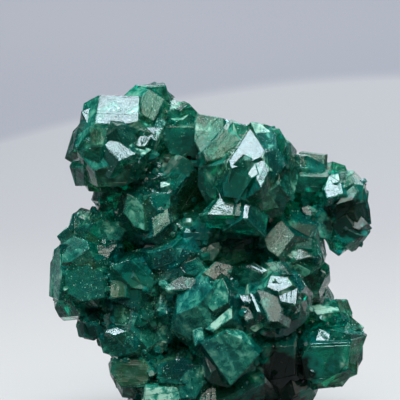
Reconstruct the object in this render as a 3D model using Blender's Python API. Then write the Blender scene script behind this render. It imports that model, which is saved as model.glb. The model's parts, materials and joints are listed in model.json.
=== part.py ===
"""A dioptase specimen: emerald green crystals of copper silicate, grown together in one piece.

Dioptase grows as short six-sided prisms closed by three rhombohedral faces at each end. Those faces
stand nearly square to each other, so an end looks like the corner of a cube. Here the crystals crowd
together in rounded, many-faced heads. The specimen was broken off its rock, and the break is flat,
so that it stands.

Lengths in the tables are millimetres and angles are degrees. +Z is up and the front looks along -Y.
The origin is the middle of the specimen's box, on the flat break.
"""

import math
import random
from collections import namedtuple

import bmesh
import bpy
from mathutils import Matrix, Vector

MM = 0.001
NAME = "dioptase_cluster"
COLOUR = (0.004, 0.09, 0.05, 1.0)
ROUGHNESS = 0.12
SEED = 20
# How fine the worn surface is, and how near to the break a corner counts as on it.
TRIANGLES_KEPT = 9700
NEAR_BREAK = 0.05 * MM

# The tables give places as they show from the front, looking down by this much.
FRONT_LOOKS_DOWN = math.radians(8)
TO_RIGHT = Vector((1, 0, 0))
TO_TOP = Vector((0, math.sin(FRONT_LOOKS_DOWN), math.cos(FRONT_LOOKS_DOWN)))
TO_VIEWER = Vector((0, -math.cos(FRONT_LOOKS_DOWN), math.sin(FRONT_LOOKS_DOWN)))

# From a crystal's long axis to the normal of an end face: the {02-21} form of dioptase.
END_FACE_TILT = math.radians(50.97)
# For a crystal that is 1 across from its axis to a prism face: the edges of an end face, and how far
# the middle of an end face lies down from the tip.
END_FACE_EDGE = 1.357
TIP_TO_FACE_MIDDLE = 0.918
# How far a face may lie from its ideal distance, as a share of it.
UNEVEN = 0.06
BALL_FACES = 20
# How far out a ball's faces lie, as shares of its radius; at the front they leave room for facets.
REACH = (0.9, 0.98)
FRONT_REACH = (0.85, 0.94)
# A corner of a facet that is sharper than this is blunted behind the facet.
SHARP = math.radians(80)
BLUNTED = math.radians(12)
# Where the light comes back to the viewer from, and how far from it the unnamed faces keep.
GLINT = (0, 35)
OFF_GLINT = math.radians(35)
# The blocks behind the facets: how far their edges may lie in front of or behind the facet's middle,
# and how deep they go, as shares of the head's radius. Edges that the head's rim shows flare less.
MOST_LIFT = 0.4
DEPTH = 0.5
RIM_FLARE = (3, 10)
FLARE = (20, 42)

# A head is a many-faced ball: where its middle shows, how far back it lies, its radius, and how many
# crystals stand on its sides and back.
Head = namedtuple("Head", "across up back radius crystals")
HEADS = {
    "upper_left": Head(-14.1, 43.7, -2.0, 6.0, 4),
    "crest": Head(-9.0, 48.6, 1.5, 3.7, 3),
    "top": Head(-4.2, 45.4, 1.0, 3.8, 3),
    "upper_right": Head(5.6, 39.4, -3.0, 7.0, 4),
    "ridge": Head(9.6, 42.0, -3.4, 3.1, 0),
    "shoulder": Head(14.4, 38.4, 2.0, 3.9, 3),
    "right": Head(19.7, 36.2, 1.0, 3.9, 3),
    "right_low": Head(20.5, 31.3, 1.0, 3.4, 2),
    "left_high": Head(-17.6, 29.6, -0.5, 4.1, 3),
    "left": Head(-18.6, 25.0, -1.5, 5.2, 4),
    "left_low": Head(-20.0, 21.0, 0.0, 3.5, 3),
    "left_root": Head(-15.6, 20.6, 2.5, 3.3, 0),
    "left_nub": Head(-17.9, 16.6, -2.0, 2.1, 2),
    "neck": Head(-13.4, 36.0, 2.5, 3.8, 2),
    "cheek": Head(-9.2, 33.2, -1.5, 4.9, 0),
    "hollow": Head(5.2, 31.6, 0.5, 4.6, 0),
    "hollow_left": Head(-1.6, 29.6, -0.5, 4.2, 0),
    "heart": Head(-5.0, 25.5, -1.0, 6.2, 0),
    "middle_left": Head(-11.6, 23.2, -2.5, 4.6, 0),
    "middle_right": Head(12.0, 28.6, -0.5, 5.2, 2),
    "front": Head(0.6, 18.9, -5.5, 6.4, 0),
    "block": Head(2.6, 12.4, -6.5, 5.2, 0),
    "front_right": Head(9.4, 20.4, -5.5, 5.6, 0),
    "low_middle": Head(9.0, 11.5, -2.0, 5.4, 0),
    "foot_right": Head(11.8, 7.2, -1.0, 4.4, 2),
    "waist": Head(14.6, 23.6, 1.5, 3.6, 2),
    "low_right_top": Head(19.0, 17.8, 0.0, 2.4, 2),
    "low_right": Head(18.0, 12.2, -1.0, 4.8, 3),
    "low_left": Head(-11.6, 15.8, -2.0, 4.8, 3),
    "foot_left": Head(-10.4, 9.8, -1.5, 4.5, 3),
    "foot_middle": Head(-2.5, 8.0, -3.0, 6.0, 0),
    "break_left": Head(-7.2, 3.4, -0.5, 5.4, 3),
    "break_front": Head(1.6, 3.0, -4.0, 5.6, 0),
    "break_right": Head(9.4, 3.2, -0.5, 5.4, 3),
    "break_back": Head(1.0, 3.4, 8.0, 6.6, 4),
    "back_top": Head(-8.0, 41.0, 6.0, 5.6, 6),
    "back_right": Head(9.5, 34.0, 7.5, 6.4, 7),
    "back_left": Head(-13.0, 27.0, 7.5, 6.2, 7),
    "back_middle": Head(0.5, 29.0, 11.0, 7.2, 8),
    "back_low": Head(4.0, 14.0, 10.0, 7.2, 7),
    "back_low_left": Head(-7.5, 14.0, 8.0, 6.0, 6),
    "back_low_right": Head(13.0, 19.5, 6.5, 5.2, 6),
}

# A facet shows from the front: the head that it lies on, which way it faces (turned to the right of
# the viewer and tilted up), how far it stands out of its head and its outline as it shows.
Facet = namedtuple("Facet", "head turn tilt proud outline")
FACETS = (
    # Upper left head.
    Facet("upper_left", -3, 42, 1.06, (
        (-16.4, 51.0), (-10.5, 50.8), (-10.6, 47.0), (-12.6, 46.5), (-17.0, 46.7)
    )),
    Facet("upper_left", 4, 25, 1.16, (
        (-9.0, 51.8), (-6.8, 50.3), (-8.4, 47.1), (-10.3, 48.2), (-10.2, 50.6)
    )),
    Facet("upper_left", -15, 22, 1.04, ((-17.8, 46.2), (-15.0, 46.0), (-15.8, 43.4), (-17.4, 43.4))),
    Facet("upper_left", -6, 40, 1.1, ((-14.4, 44.6), (-11.0, 42.2), (-13.4, 41.1), (-15.5, 43.5))),
    Facet("upper_left", 8, 38, 1.1, ((-9.6, 46.1), (-6.9, 46.0), (-8.0, 44.1), (-9.8, 44.9))),
    Facet("upper_left", 8, 38, 1.06, ((-10.4, 44.9), (-8.7, 44.8), (-9.6, 43.3), (-11.0, 43.4))),
    Facet("upper_left", 15, 33, 1.12, ((-7.9, 47.9), (-6.4, 46.9), (-7.0, 46.1), (-8.3, 46.3))),
    Facet("upper_left", -35, 30, 0.98, ((-19.6, 46.4), (-17.9, 48.3), (-17.0, 46.4), (-18.0, 44.6))),
    Facet("upper_left", -45, 8, 0.98, ((-20.4, 43.0), (-19.7, 46.0), (-18.2, 44.6), (-18.6, 42.3))),
    Facet("upper_left", -45, -3, 0.98, ((-20.5, 40.4), (-20.5, 42.6), (-18.6, 42.1), (-18.7, 40.3))),
    Facet("upper_left", -45, -20, 1.03, ((-20.0, 37.5), (-20.9, 40.4), (-18.7, 40.4), (-18.4, 37.5))),
    Facet("upper_left", -20, -35, 1.03, ((-18.0, 36.7), (-18.4, 39.9), (-16.9, 39.0), (-16.0, 36.6))),
    Facet("upper_left", -5, -25, 1.16, (
        (-17.0, 39.8), (-13.0, 41.0), (-11.5, 40.5), (-12.5, 37.5), (-16.5, 37.3)
    )),
    Facet("upper_left", -30, -2, 1.03, ((-18.6, 44.4), (-16.0, 43.3), (-16.4, 40.5), (-18.6, 40.5))),
    # Top.
    Facet("crest", 15, 2, 1.0, ((-9.2, 52.2), (-6.7, 52.5), (-6.0, 50.3), (-8.8, 50.4))),
    Facet("crest", -25, 12, 1.02, ((-12.0, 51.0), (-10.6, 51.9), (-9.3, 52.1), (-9.2, 50.8))),
    Facet("top", 5, 48, 1.3, ((-5.8, 50.3), (-3.2, 49.8), (-4.5, 48.8), (-5.8, 48.9))),
    Facet("top", 25, 5, 1.05, ((-3.2, 49.8), (-1.9, 48.5), (-2.8, 46.6), (-4.4, 47.3), (-4.6, 48.9))),
    Facet("top", -5, 5, 1.05, ((-5.6, 48.9), (-4.4, 48.8), (-4.6, 46.5), (-6.6, 47.0), (-6.6, 48.3))),
    Facet("top", 0, -10, 1.05, ((-6.5, 46.2), (-2.4, 46.2), (-1.2, 41.8), (-5.6, 42.2), (-7.2, 44.2))),
    Facet("cheek", 5, 36, 1.5, ((-8.7, 40.9), (-7.8, 41.6), (-7.0, 41.1), (-7.5, 40.2))),
    Facet("cheek", 0, 40, 1.4, ((-9.6, 39.2), (-8.8, 39.9), (-6.9, 39.2), (-8.7, 38.5))),
    Facet("cheek", 0, 40, 1.3, ((-7.4, 38.0), (-6.3, 38.0), (-5.7, 37.7), (-7.4, 37.1))),
    # Cheek.
    Facet("cheek", -7, 15, 1.15, (
        (-12.3, 36.2), (-11.3, 35.8), (-9.9, 34.4), (-9.7, 30.9), (-11.3, 31.6), (-12.8, 33.6)
    )),
    Facet("cheek", 5, 5, 1.03, (
        (-9.8, 36.0), (-8.0, 36.5), (-6.0, 36.4), (-6.1, 34.2), (-8.4, 33.4), (-9.6, 34.4)
    )),
    Facet("cheek", 8, 22, 1.1, ((-6.3, 34.1), (-5.9, 32.0), (-8.3, 30.0), (-8.6, 32.7))),
    Facet("cheek", 25, -12, 1.03, ((-8.6, 30.0), (-5.9, 32.0), (-5.0, 30.5), (-6.5, 28.5), (-8.3, 29.0))),
    # Upper right head.
    Facet("upper_right", -6, 25, 1.08, (
        (-2.2, 47.2), (-1.8, 48.2), (2.0, 47.5), (2.0, 46.1), (-1.3, 42.2), (-2.2, 44.0)
    )),
    Facet("upper_right", 9, 20, 1.04, ((2.0, 46.0), (4.6, 44.3), (2.8, 42.0), (-0.6, 41.0), (-1.0, 42.6))),
    Facet("upper_right", 10, 40, 1.08, ((2.2, 47.4), (2.8, 47.3), (3.6, 45.6), (3.2, 45.4))),
    Facet("upper_right", -5, 12, 1.02, ((3.4, 46.9), (5.5, 46.4), (5.6, 45.4), (4.6, 44.4), (3.4, 45.4))),
    Facet("upper_right", -2, 42, 1.1, ((5.9, 45.9), (8.0, 42.7), (7.5, 41.6), (3.1, 39.9), (2.7, 41.0))),
    Facet("upper_right", 0, 40, 1.14, (
        (5.3, 41.3), (6.1, 41.8), (6.5, 40.9), (7.0, 39.2), (6.0, 38.6), (5.2, 40.0)
    )),
    Facet("upper_right", 3, 38, 1.19, ((6.6, 41.5), (7.5, 41.7), (8.6, 39.7), (7.4, 37.2), (6.7, 38.4))),
    Facet("upper_right", -12, -3, 1.18, (
        (3.0, 40.3), (5.0, 41.2), (5.6, 38.5), (5.2, 35.4), (2.0, 36.0), (1.8, 38.8)
    )),
    Facet("upper_right", 18, 5, 1.03, ((8.2, 42.5), (9.6, 42.9), (10.8, 40.3), (9.0, 38.0), (8.7, 40.0))),
    Facet("ridge", 0, 8, 1.2, ((9.1, 44.6), (10.5, 45.3), (11.1, 43.6), (10.5, 41.2), (9.2, 43.6))),
    Facet("ridge", 30, 5, 1.12, ((10.7, 45.0), (11.7, 43.1), (11.9, 41.6), (11.2, 41.2), (11.0, 43.6))),
    Facet("upper_right", 5, 32, 1.06, ((6.0, 46.9), (7.4, 46.7), (9.0, 45.4), (8.8, 44.2), (7.0, 44.6))),
    Facet("upper_right", -4, 37, 1.26, ((-0.3, 33.2), (1.9, 36.1), (3.9, 35.4), (3.4, 33.1))),
    Facet("upper_right", -4, 30, 1.29, ((3.8, 35.4), (4.6, 35.2), (4.4, 32.9), (3.5, 33.1))),
    Facet("upper_right", 2, 40, 1.34, ((5.1, 35.1), (5.9, 35.3), (5.5, 32.6), (4.7, 32.7))),
    Facet("upper_right", 20, -25, 1.0, (
        (6.0, 35.0), (10.0, 37.6), (11.8, 36.0), (10.6, 33.0), (7.0, 32.4)
    )),
    Facet("upper_right", -30, -15, 1.03, (
        (-1.6, 40.4), (1.4, 40.6), (1.6, 36.6), (-0.6, 35.0), (-1.8, 37.4)
    )),
    # Hollow under the upper right head.
    Facet("hollow", 5, 12, 1.03, ((1.6, 32.6), (4.4, 32.9), (6.4, 31.6), (5.4, 29.6), (2.4, 29.8))),
    Facet("hollow", 28, 5, 1.03, ((6.6, 33.5), (9.0, 33.6), (9.4, 31.0), (7.2, 30.4))),
    Facet("hollow", 0, 38, 1.1, ((1.6, 30.4), (2.4, 30.8), (3.0, 30.0), (2.0, 29.4))),
    Facet("hollow_left", -10, 15, 1.05, (
        (-3.6, 31.6), (-0.6, 32.6), (0.8, 31.0), (-0.6, 29.4), (-3.4, 29.6)
    )),
    Facet("hollow_left", 5, 38, 1.12, ((-0.2, 31.0), (0.6, 31.5), (1.2, 30.7), (0.5, 30.2))),
    # Shoulder.
    Facet("shoulder", -10, 20, 1.05, ((12.2, 42.3), (14.6, 42.0), (14.4, 39.4), (12.2, 39.4))),
    Facet("shoulder", 15, 15, 1.05, ((14.6, 42.0), (17.0, 40.8), (17.6, 39.0), (14.8, 38.8))),
    Facet("shoulder", 5, -20, 1.05, ((12.2, 39.0), (17.4, 38.8), (16.0, 36.6), (13.0, 36.6))),
    # Right heads.
    Facet("right", -5, 26, 1.1, ((17.1, 41.1), (18.2, 41.0), (18.0, 39.6), (17.4, 40.0))),
    Facet("right", 15, 25, 1.05, ((18.4, 41.2), (20.2, 40.6), (20.6, 39.4), (18.2, 39.8))),
    Facet("right", -4, 41, 1.22, ((17.9, 39.0), (19.1, 39.3), (19.7, 36.4), (17.4, 35.7), (17.1, 36.8))),
    Facet("right", 8, 28, 1.08, ((19.4, 39.4), (20.8, 39.6), (21.4, 37.8), (19.9, 37.1))),
    Facet("right", 5, 28, 1.08, ((20.2, 36.6), (21.4, 37.6), (21.9, 36.6), (21.2, 35.4), (18.9, 34.8))),
    Facet("right", 42, 2, 1.06, (
        (21.8, 37.8), (23.2, 37.0), (24.0, 34.0), (24.2, 31.8), (22.4, 31.0), (21.6, 33.6)
    )),
    Facet("right", 8, -5, 1.1, ((18.8, 34.4), (21.2, 35.0), (21.8, 33.0), (21.6, 30.4), (19.0, 30.6))),
    Facet("right_low", 35, -20, 1.1, ((22.1, 31.0), (23.6, 32.0), (24.3, 31.2), (22.6, 29.8))),
    Facet("right_low", 30, -40, 1.12, ((20.4, 28.6), (22.6, 30.0), (23.6, 30.2), (21.5, 27.6))),
    Facet("right_low", -5, -30, 1.1, ((17.6, 29.4), (20.4, 28.4), (19.4, 27.0), (18.0, 28.0))),
    Facet("right_low", 5, 0, 1.3, (
        (16.4, 34.0), (17.6, 33.2), (18.5, 31.4), (17.9, 29.5), (16.4, 29.8), (15.6, 31.2)
    )),
    # Left heads.
    Facet("left_high", -10, 58, 1.06, ((-19.4, 34.2), (-17.6, 33.7), (-18.4, 32.6), (-20.1, 33.5))),
    Facet("left_high", -20, 27, 1.05, ((-20.0, 33.2), (-18.7, 32.4), (-19.6, 31.2), (-20.1, 31.4))),
    Facet("left_high", -50, 15, 1.05, ((-20.2, 33.0), (-20.2, 30.4), (-21.4, 30.6), (-21.0, 31.8))),
    Facet("left_high", 0, 12, 1.2, (
        (-17.0, 32.2), (-13.3, 32.2), (-12.6, 31.0), (-13.5, 29.4), (-16.6, 29.2)
    )),
    Facet("left", 5, 24, 1.05, ((-18.0, 28.6), (-13.9, 28.7), (-15.6, 26.3), (-16.6, 26.0))),
    Facet("left", -60, 3, 1.05, (
        (-23.9, 26.0), (-22.3, 28.8), (-22.0, 24.0), (-22.5, 20.5), (-24.1, 21.0)
    )),
    Facet("left", -25, 20, 1.2, (
        (-22.3, 29.4), (-20.3, 30.0), (-18.2, 29.3), (-18.0, 28.0), (-20.6, 26.2), (-22.0, 26.0)
    )),
    Facet("left", -10, 2, 1.05, (
        (-21.8, 25.4), (-18.0, 25.8), (-16.0, 24.6), (-15.7, 21.0), (-19.0, 20.4), (-21.3, 21.6)
    )),
    Facet("left_low", -35, -20, 1.05, (
        (-22.6, 20.6), (-20.6, 20.8), (-19.4, 18.2), (-22.6, 17.8), (-23.2, 19.3)
    )),
    Facet("left_low", -5, -30, 1.1, (
        (-20.4, 20.6), (-16.6, 20.8), (-16.4, 19.6), (-18.0, 18.2), (-19.2, 18.2)
    )),
    Facet("left_nub", 0, 25, 1.05, (
        (-18.3, 18.4), (-15.0, 18.9), (-14.8, 18.3), (-16.0, 17.4), (-18.0, 17.6)
    )),
    Facet("left_nub", -40, -5, 1.05, ((-20.0, 16.8), (-18.9, 17.0), (-18.5, 14.8), (-19.6, 14.9))),
    Facet("left_nub", 5, -12, 1.05, ((-18.6, 17.2), (-16.6, 17.0), (-16.6, 15.6), (-18.0, 14.6))),
    # Middle.
    Facet("middle_left", 5, 8, 1.05, (
        (-14.6, 25.6), (-12.0, 26.5), (-9.6, 25.8), (-8.3, 24.2), (-8.6, 22.0), (-11.6, 22.4)
    )),
    Facet("middle_left", -8, 20, 1.06, ((-14.8, 23.3), (-12.4, 23.3), (-12.6, 21.0), (-14.8, 20.8))),
    Facet("heart", -5, 26, 1.16, ((-6.9, 22.3), (-4.3, 24.1), (-1.3, 23.4), (-2.0, 22.4), (-6.2, 21.9))),
    Facet("heart", -12, 38, 1.15, ((-7.3, 21.7), (-6.3, 21.6), (-6.4, 18.5), (-7.9, 19.0))),
    Facet("heart", -8, 8, 1.15, (
        (-6.2, 21.8), (-4.0, 22.2), (-1.6, 21.8), (-0.5, 20.4), (-2.0, 18.6), (-6.0, 18.3)
    )),
    Facet("heart", -5, -8, 1.05, ((-8.6, 27.6), (-5.8, 28.4), (-4.4, 26.6), (-5.6, 24.8), (-8.2, 25.2))),
    Facet("heart", 12, 10, 1.12, ((-3.8, 26.0), (-1.8, 26.8), (-0.6, 25.2), (-2.2, 24.2), (-3.6, 24.6))),
    Facet("hollow_left", 0, 0, 1.02, ((-3.9, 30.6), (-1.2, 30.4), (-1.4, 28.6), (-3.4, 28.2))),
    Facet("heart", -15, 10, 1.05, ((-7.0, 25.8), (-3.4, 28.2), (-2.6, 27.6), (-6.0, 24.7))),
    Facet("heart", -10, 20, 1.06, (
        (-3.0, 27.2), (0.0, 28.8), (1.4, 29.2), (1.4, 27.8), (0.4, 26.4), (-2.0, 26.2)
    )),
    Facet("middle_right", -3, 25, 1.22, (
        (8.0, 29.6), (10.6, 32.4), (12.5, 30.2), (10.0, 27.0), (8.6, 28.0)
    )),
    Facet("middle_right", 5, 30, 1.06, ((11.2, 27.4), (13.2, 28.2), (15.2, 27.0), (12.4, 26.4))),
    Facet("middle_right", 8, -5, 1.15, (
        (10.8, 27.0), (12.4, 26.2), (15.4, 26.8), (16.0, 25.0), (14.2, 24.0), (11.8, 24.6)
    )),
    Facet("middle_right", 20, 36, 1.06, ((15.5, 29.8), (16.1, 29.0), (16.6, 26.8), (15.8, 27.2))),
    Facet("middle_right", -5, 24, 1.1, ((13.6, 34.2), (14.8, 34.6), (16.2, 33.8), (14.4, 33.0))),
    # Front heads.
    Facet("front", 0, 30, 1.12, ((-1.0, 24.6), (1.0, 26.3), (3.4, 25.6), (2.6, 24.3), (0.6, 23.6))),
    Facet("front", -20, 14, 1.04, ((-1.6, 20.6), (1.8, 23.8), (2.6, 22.2), (2.6, 20.2), (0.4, 19.0))),
    Facet("front", -22, 27, 1.06, ((-0.8, 16.4), (3.2, 19.8), (3.2, 18.0), (0.4, 16.0))),
    Facet("front", -25, 26, 1.06, ((-2.6, 16.2), (-1.2, 16.8), (-0.9, 14.6), (-2.2, 13.9))),
    Facet("front", 5, 3, 1.04, ((3.4, 25.0), (5.0, 25.4), (6.4, 24.2), (5.6, 22.4), (3.2, 22.6))),
    Facet("block", -3, -3, 1.3, ((-1.3, 14.3), (2.2, 16.0), (4.6, 15.0), (7.2, 12.7), (3.0, 8.1))),
    Facet("front_right", 2, 41, 1.2, ((5.2, 25.6), (6.4, 26.0), (8.4, 24.9), (7.6, 24.6))),
    Facet("front_right", 10, 30, 1.06, (
        (8.2, 26.0), (10.4, 26.3), (11.8, 24.4), (10.8, 24.3), (9.0, 25.0)
    )),
    Facet("front_right", 0, 41, 1.08, ((8.4, 22.6), (9.0, 24.2), (11.3, 23.9), (12.0, 22.8), (10.0, 21.9))),
    Facet("front_right", 2, 40, 1.1, (
        (10.0, 21.7), (12.0, 22.7), (12.9, 22.2), (12.6, 20.0), (10.4, 20.4)
    )),
    Facet("front_right", -5, 27, 1.08, ((6.9, 22.1), (9.7, 21.9), (10.6, 19.5), (10.0, 17.5), (8.8, 17.5))),
    Facet("front_right", 9, 28, 1.1, ((12.9, 21.6), (13.5, 21.0), (13.3, 19.0), (12.4, 18.6))),
    Facet("front_right", 3, 40, 1.14, ((4.3, 21.3), (5.6, 21.4), (6.2, 20.3), (4.7, 20.4))),
    Facet("front_right", 0, 40, 1.14, ((5.8, 21.7), (6.3, 21.5), (7.4, 19.0), (6.9, 18.9))),
    Facet("front_right", -2, 28, 1.12, ((4.4, 20.1), (5.4, 20.1), (6.4, 18.0), (5.2, 17.6))),
    Facet("front_right", 0, 5, 1.06, ((5.4, 17.8), (7.6, 18.0), (7.8, 16.6), (6.6, 15.9), (5.6, 16.6))),
    # Lower right.
    Facet("low_right_top", 0, 58, 1.35, ((15.0, 19.5), (19.0, 19.8), (19.4, 18.8), (16.0, 18.3))),
    Facet("low_right_top", 30, 15, 1.06, ((19.0, 20.4), (20.6, 20.4), (21.4, 18.3), (20.0, 17.2))),
    Facet("low_right", -8, 38, 1.15, ((15.8, 14.4), (16.3, 16.1), (18.6, 15.0), (17.0, 14.2))),
    Facet("low_right", 40, 30, 1.1, ((21.1, 18.0), (23.2, 16.2), (21.4, 15.6))),
    Facet("low_right", -3, -6, 1.12, (
        (15.0, 14.0), (21.0, 14.2), (20.6, 10.4), (16.2, 8.0), (14.2, 8.8), (13.6, 11.6)
    )),
    Facet("low_right", 45, -3, 1.15, (
        (21.0, 15.4), (23.6, 15.2), (23.3, 13.6), (22.2, 11.8), (21.6, 10.2), (20.6, 10.6)
    )),
    Facet("low_right", 12, -45, 1.1, ((16.4, 8.0), (20.6, 10.2), (22.0, 9.4), (17.4, 7.3))),
    Facet("low_middle", 0, 18, 1.25, ((9.4, 15.6), (10.8, 15.8), (11.0, 14.9), (9.6, 14.6))),
    Facet("low_middle", -5, -20, 1.03, ((7.4, 13.6), (12.4, 13.8), (12.6, 9.4), (8.6, 8.4))),
    # Lower left.
    Facet("low_left", -5, 12, 1.06, (
        (-14.4, 20.0), (-8.6, 20.2), (-8.4, 18.0), (-10.0, 16.6), (-14.2, 17.0)
    )),
    Facet("low_left", -5, 40, 1.1, ((-15.6, 15.8), (-13.8, 16.4), (-12.7, 15.8), (-14.2, 15.2))),
    Facet("low_left", 5, 14, 1.2, ((-8.2, 16.2), (-6.8, 17.4), (-4.9, 15.6), (-6.0, 14.2), (-7.6, 14.4))),
    Facet("low_left", -20, -8, 1.04, (
        (-16.6, 14.8), (-12.0, 14.6), (-11.0, 12.8), (-14.0, 12.0), (-16.0, 12.6)
    )),
    Facet("foot_left", -4, 15, 1.12, (
        (-14.6, 11.4), (-9.8, 11.6), (-8.4, 9.8), (-9.8, 7.6), (-13.4, 7.6), (-14.8, 9.6)
    )),
    Facet("foot_middle", 0, 14, 1.18, ((-9.6, 7.4), (-5.0, 7.6), (-4.0, 5.6), (-6.0, 4.0), (-9.8, 4.4))),
    Facet("foot_middle", -12, 2, 1.05, (
        (-8.0, 11.0), (-4.0, 12.0), (-1.5, 10.0), (-3.0, 8.0), (-7.6, 8.2)
    )),
    Facet("foot_middle", -5, 24, 1.1, ((-1.2, 8.6), (0.8, 8.2), (1.0, 5.0), (-1.4, 5.0))),
)

# Large crystals that fill the middle, which the others grow from.
Core = namedtuple("Core", "across up back width tall lean")
CORES = (
    Core(0.0, 27.0, 6.0, 19.0, 24.0, 12),
    Core(-6.0, 38.0, 3.0, 13.0, 16.0, -20),
    Core(1.5, 7.0, 1.5, 23.0, 24.0, 5),
)


def in_place(across, up, back):
    """The point that shows this far across and up from the front and lies this far back."""
    height = (up - back * math.sin(FRONT_LOOKS_DOWN)) / math.cos(FRONT_LOOKS_DOWN)
    return Vector((across, back, height)) * MM


def facing(turn, tilt):
    """The direction that is turned to the right of the viewer and tilted up, in degrees."""
    turn, tilt = math.radians(turn), math.radians(tilt)
    return Vector((math.sin(turn) * math.cos(tilt), -math.cos(turn) * math.cos(tilt), math.sin(tilt)))


def off_glint(normal):
    """The direction, turned away from the one that flashes if it lies too near to it."""
    bright = facing(*GLINT)
    apart = normal.angle(bright)
    if apart > OFF_GLINT:
        return normal
    return Matrix.Rotation(OFF_GLINT - apart, 3, bright.cross(normal)) @ normal


def cut_face(bm, point, normal):
    """Takes off what lies beyond a plane and closes the cut with one flat face."""
    everything = bm.verts[:] + bm.edges[:] + bm.faces[:]
    cut = bmesh.ops.bisect_plane(
        bm, geom=everything, dist=1e-7, plane_co=point, plane_no=normal, clear_outer=True
    )
    rim = [made for made in cut["geom_cut"] if isinstance(made, bmesh.types.BMEdge)]
    if rim:
        bmesh.ops.edgeloop_fill(bm, edges=rim)


def cut_block(middle, size, planes, collection):
    """A block round a point, cut to the given faces, each a point on it and its normal."""
    bm = bmesh.new()
    bmesh.ops.create_cube(bm, size=size, matrix=Matrix.Translation(middle))
    for point, normal in planes:
        cut_face(bm, point, normal)
    mesh = bpy.data.meshes.new("crystal")
    bm.to_mesh(mesh)
    bm.free()
    made = bpy.data.objects.new("crystal", mesh)
    made.hide_render = True
    made.display_type = "WIRE"
    collection.objects.link(made)


def crystal(middle, long_axis, towards, half_width, half_length, rng, collection):
    """One crystal: six prism faces, and three faces at each end, the first of them facing towards."""
    up = long_axis.normalized()
    right = (towards - up * towards.dot(up)).normalized()
    turned = Matrix((right, up.cross(right), up)).transposed()
    planes = []
    for side in range(6):
        angle = math.radians(60 * side)
        end = 1 if side % 2 == 0 else -1
        level = Vector((math.cos(angle), math.sin(angle), 0))
        sloping = level * math.sin(END_FACE_TILT) + Vector((0, 0, end * math.cos(END_FACE_TILT)))
        uneven = 1 if side == 0 else rng.uniform(1 - UNEVEN, 1 + UNEVEN)
        reach = half_length * math.cos(END_FACE_TILT) * uneven
        planes.append((middle + turned @ sloping * reach, turned @ sloping))
        prism = Vector((math.cos(angle + math.pi / 6), math.sin(angle + math.pi / 6), 0))
        reach = half_width * rng.uniform(1 - UNEVEN, 1 + UNEVEN)
        planes.append((middle + turned @ prism * reach, turned @ prism))
    cut_block(middle, 6 * max(half_width, half_length), planes, collection)


def spread(count, start):
    """Directions spread evenly all round, from a spiral down a ball."""
    golden = math.pi * (3 - math.sqrt(5))
    for n in range(count):
        height = 1 - 2 * (n + 0.5) / count
        ring = math.sqrt(1 - height * height)
        yield Vector((ring * math.cos(golden * n + start), ring * math.sin(golden * n + start), height))


def askew(direction, by, rng):
    """The direction, leaning at random by about this many radians."""
    return (direction + Vector((rng.gauss(0, by), rng.gauss(0, by), rng.gauss(0, by)))).normalized()


def grow(face_middle, normal, to_tip, edge, rng, collection):
    """A crystal behind an end face with edges of this length, its tip towards to_tip."""
    to_tip = (to_tip - normal * normal.dot(to_tip)).normalized()
    long_axis = normal * math.cos(END_FACE_TILT) + to_tip * math.sin(END_FACE_TILT)
    half_width = edge / END_FACE_EDGE
    half_length = half_width * rng.uniform(1.2, 1.5)
    tip = face_middle + to_tip * half_width * TIP_TO_FACE_MIDDLE
    crystal(tip - long_axis * half_length, long_axis, normal, half_width, half_length, rng, collection)


def crystal_behind(facet, rng, collection):
    """The crystal that a facet closes: its other faces spread away behind the facet's edges."""
    head = HEADS[facet.head]
    middle = in_place(head.across, head.up, head.back)
    normal = facing(facet.turn, facet.tilt)
    reach = head.radius * facet.proud
    shown = [Vector((x - head.across, y - head.up)) for x, y in facet.outline]
    centre = sum(shown, Vector((0, 0))) / len(shown)
    towards = math.sqrt(max(reach ** 2 - centre.length_squared, (0.25 * head.radius) ** 2))
    on_face = middle + (TO_RIGHT * centre.x + TO_TOP * centre.y + TO_VIEWER * towards) * MM
    corners = []
    for corner in shown:
        start = middle + (TO_RIGHT * corner.x + TO_TOP * corner.y) * MM
        lift = (on_face - start).dot(normal) / TO_VIEWER.dot(normal)
        least = (towards - MOST_LIFT * head.radius) * MM
        most = (towards + MOST_LIFT * head.radius) * MM
        lift = min(max(lift, least), most)
        corners.append(start + TO_VIEWER * lift)
    planes = [(on_face, normal)]
    for one, other in zip(corners, corners[1:] + corners[:1]):
        outward = (other - one).cross(normal).normalized()
        if outward.dot(on_face - one) > 0:
            outward = -outward
        outside = outward.dot((one + other) / 2 - middle) > 0.5 * head.radius * MM
        flare = math.radians(rng.uniform(*(RIM_FLARE if outside else FLARE)))
        planes.append((one, outward * math.cos(flare) + normal * math.sin(flare)))
    for at, corner in enumerate(corners):
        before, after = corners[at - 1], corners[(at + 1) % len(corners)]
        if (before - corner).angle(after - corner) < SHARP:
            outward = (corner - (before + after) / 2).normalized()
            planes.append((corner, outward * math.cos(BLUNTED) + normal * math.sin(BLUNTED)))
    depth = head.radius * DEPTH * MM
    planes.append((on_face - normal * depth, -normal))
    cut_block(on_face, 6 * head.radius * MM, planes, collection)


def crystals_of(head, rng, collection):
    """A many-faced ball, and the crystals that lie over its sides and back like scales."""
    middle = in_place(head.across, head.up, head.back)
    radius = head.radius * MM
    planes = []
    for outward in spread(BALL_FACES, head.across):
        normal = off_glint(askew(outward, 0.12, rng))
        reach = rng.uniform(*(FRONT_REACH if normal.dot(TO_VIEWER) > 0.3 else REACH))
        planes.append((middle + normal * radius * reach, normal))
    cut_block(middle, 4 * radius, planes, collection)
    placed = 0
    for outward in spread(3 * head.crystals, head.up):
        if outward.dot(TO_VIEWER) > 0.05 or placed == head.crystals:
            continue
        placed += 1
        normal = askew(outward, 0.16, rng)
        to_tip = askew(outward.orthogonal(), 0.6, rng)
        face_middle = middle + outward * radius * rng.uniform(0.93, 1.0)
        grow(face_middle, normal, to_tip, radius * rng.uniform(0.7, 1.0), rng, collection)


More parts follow.
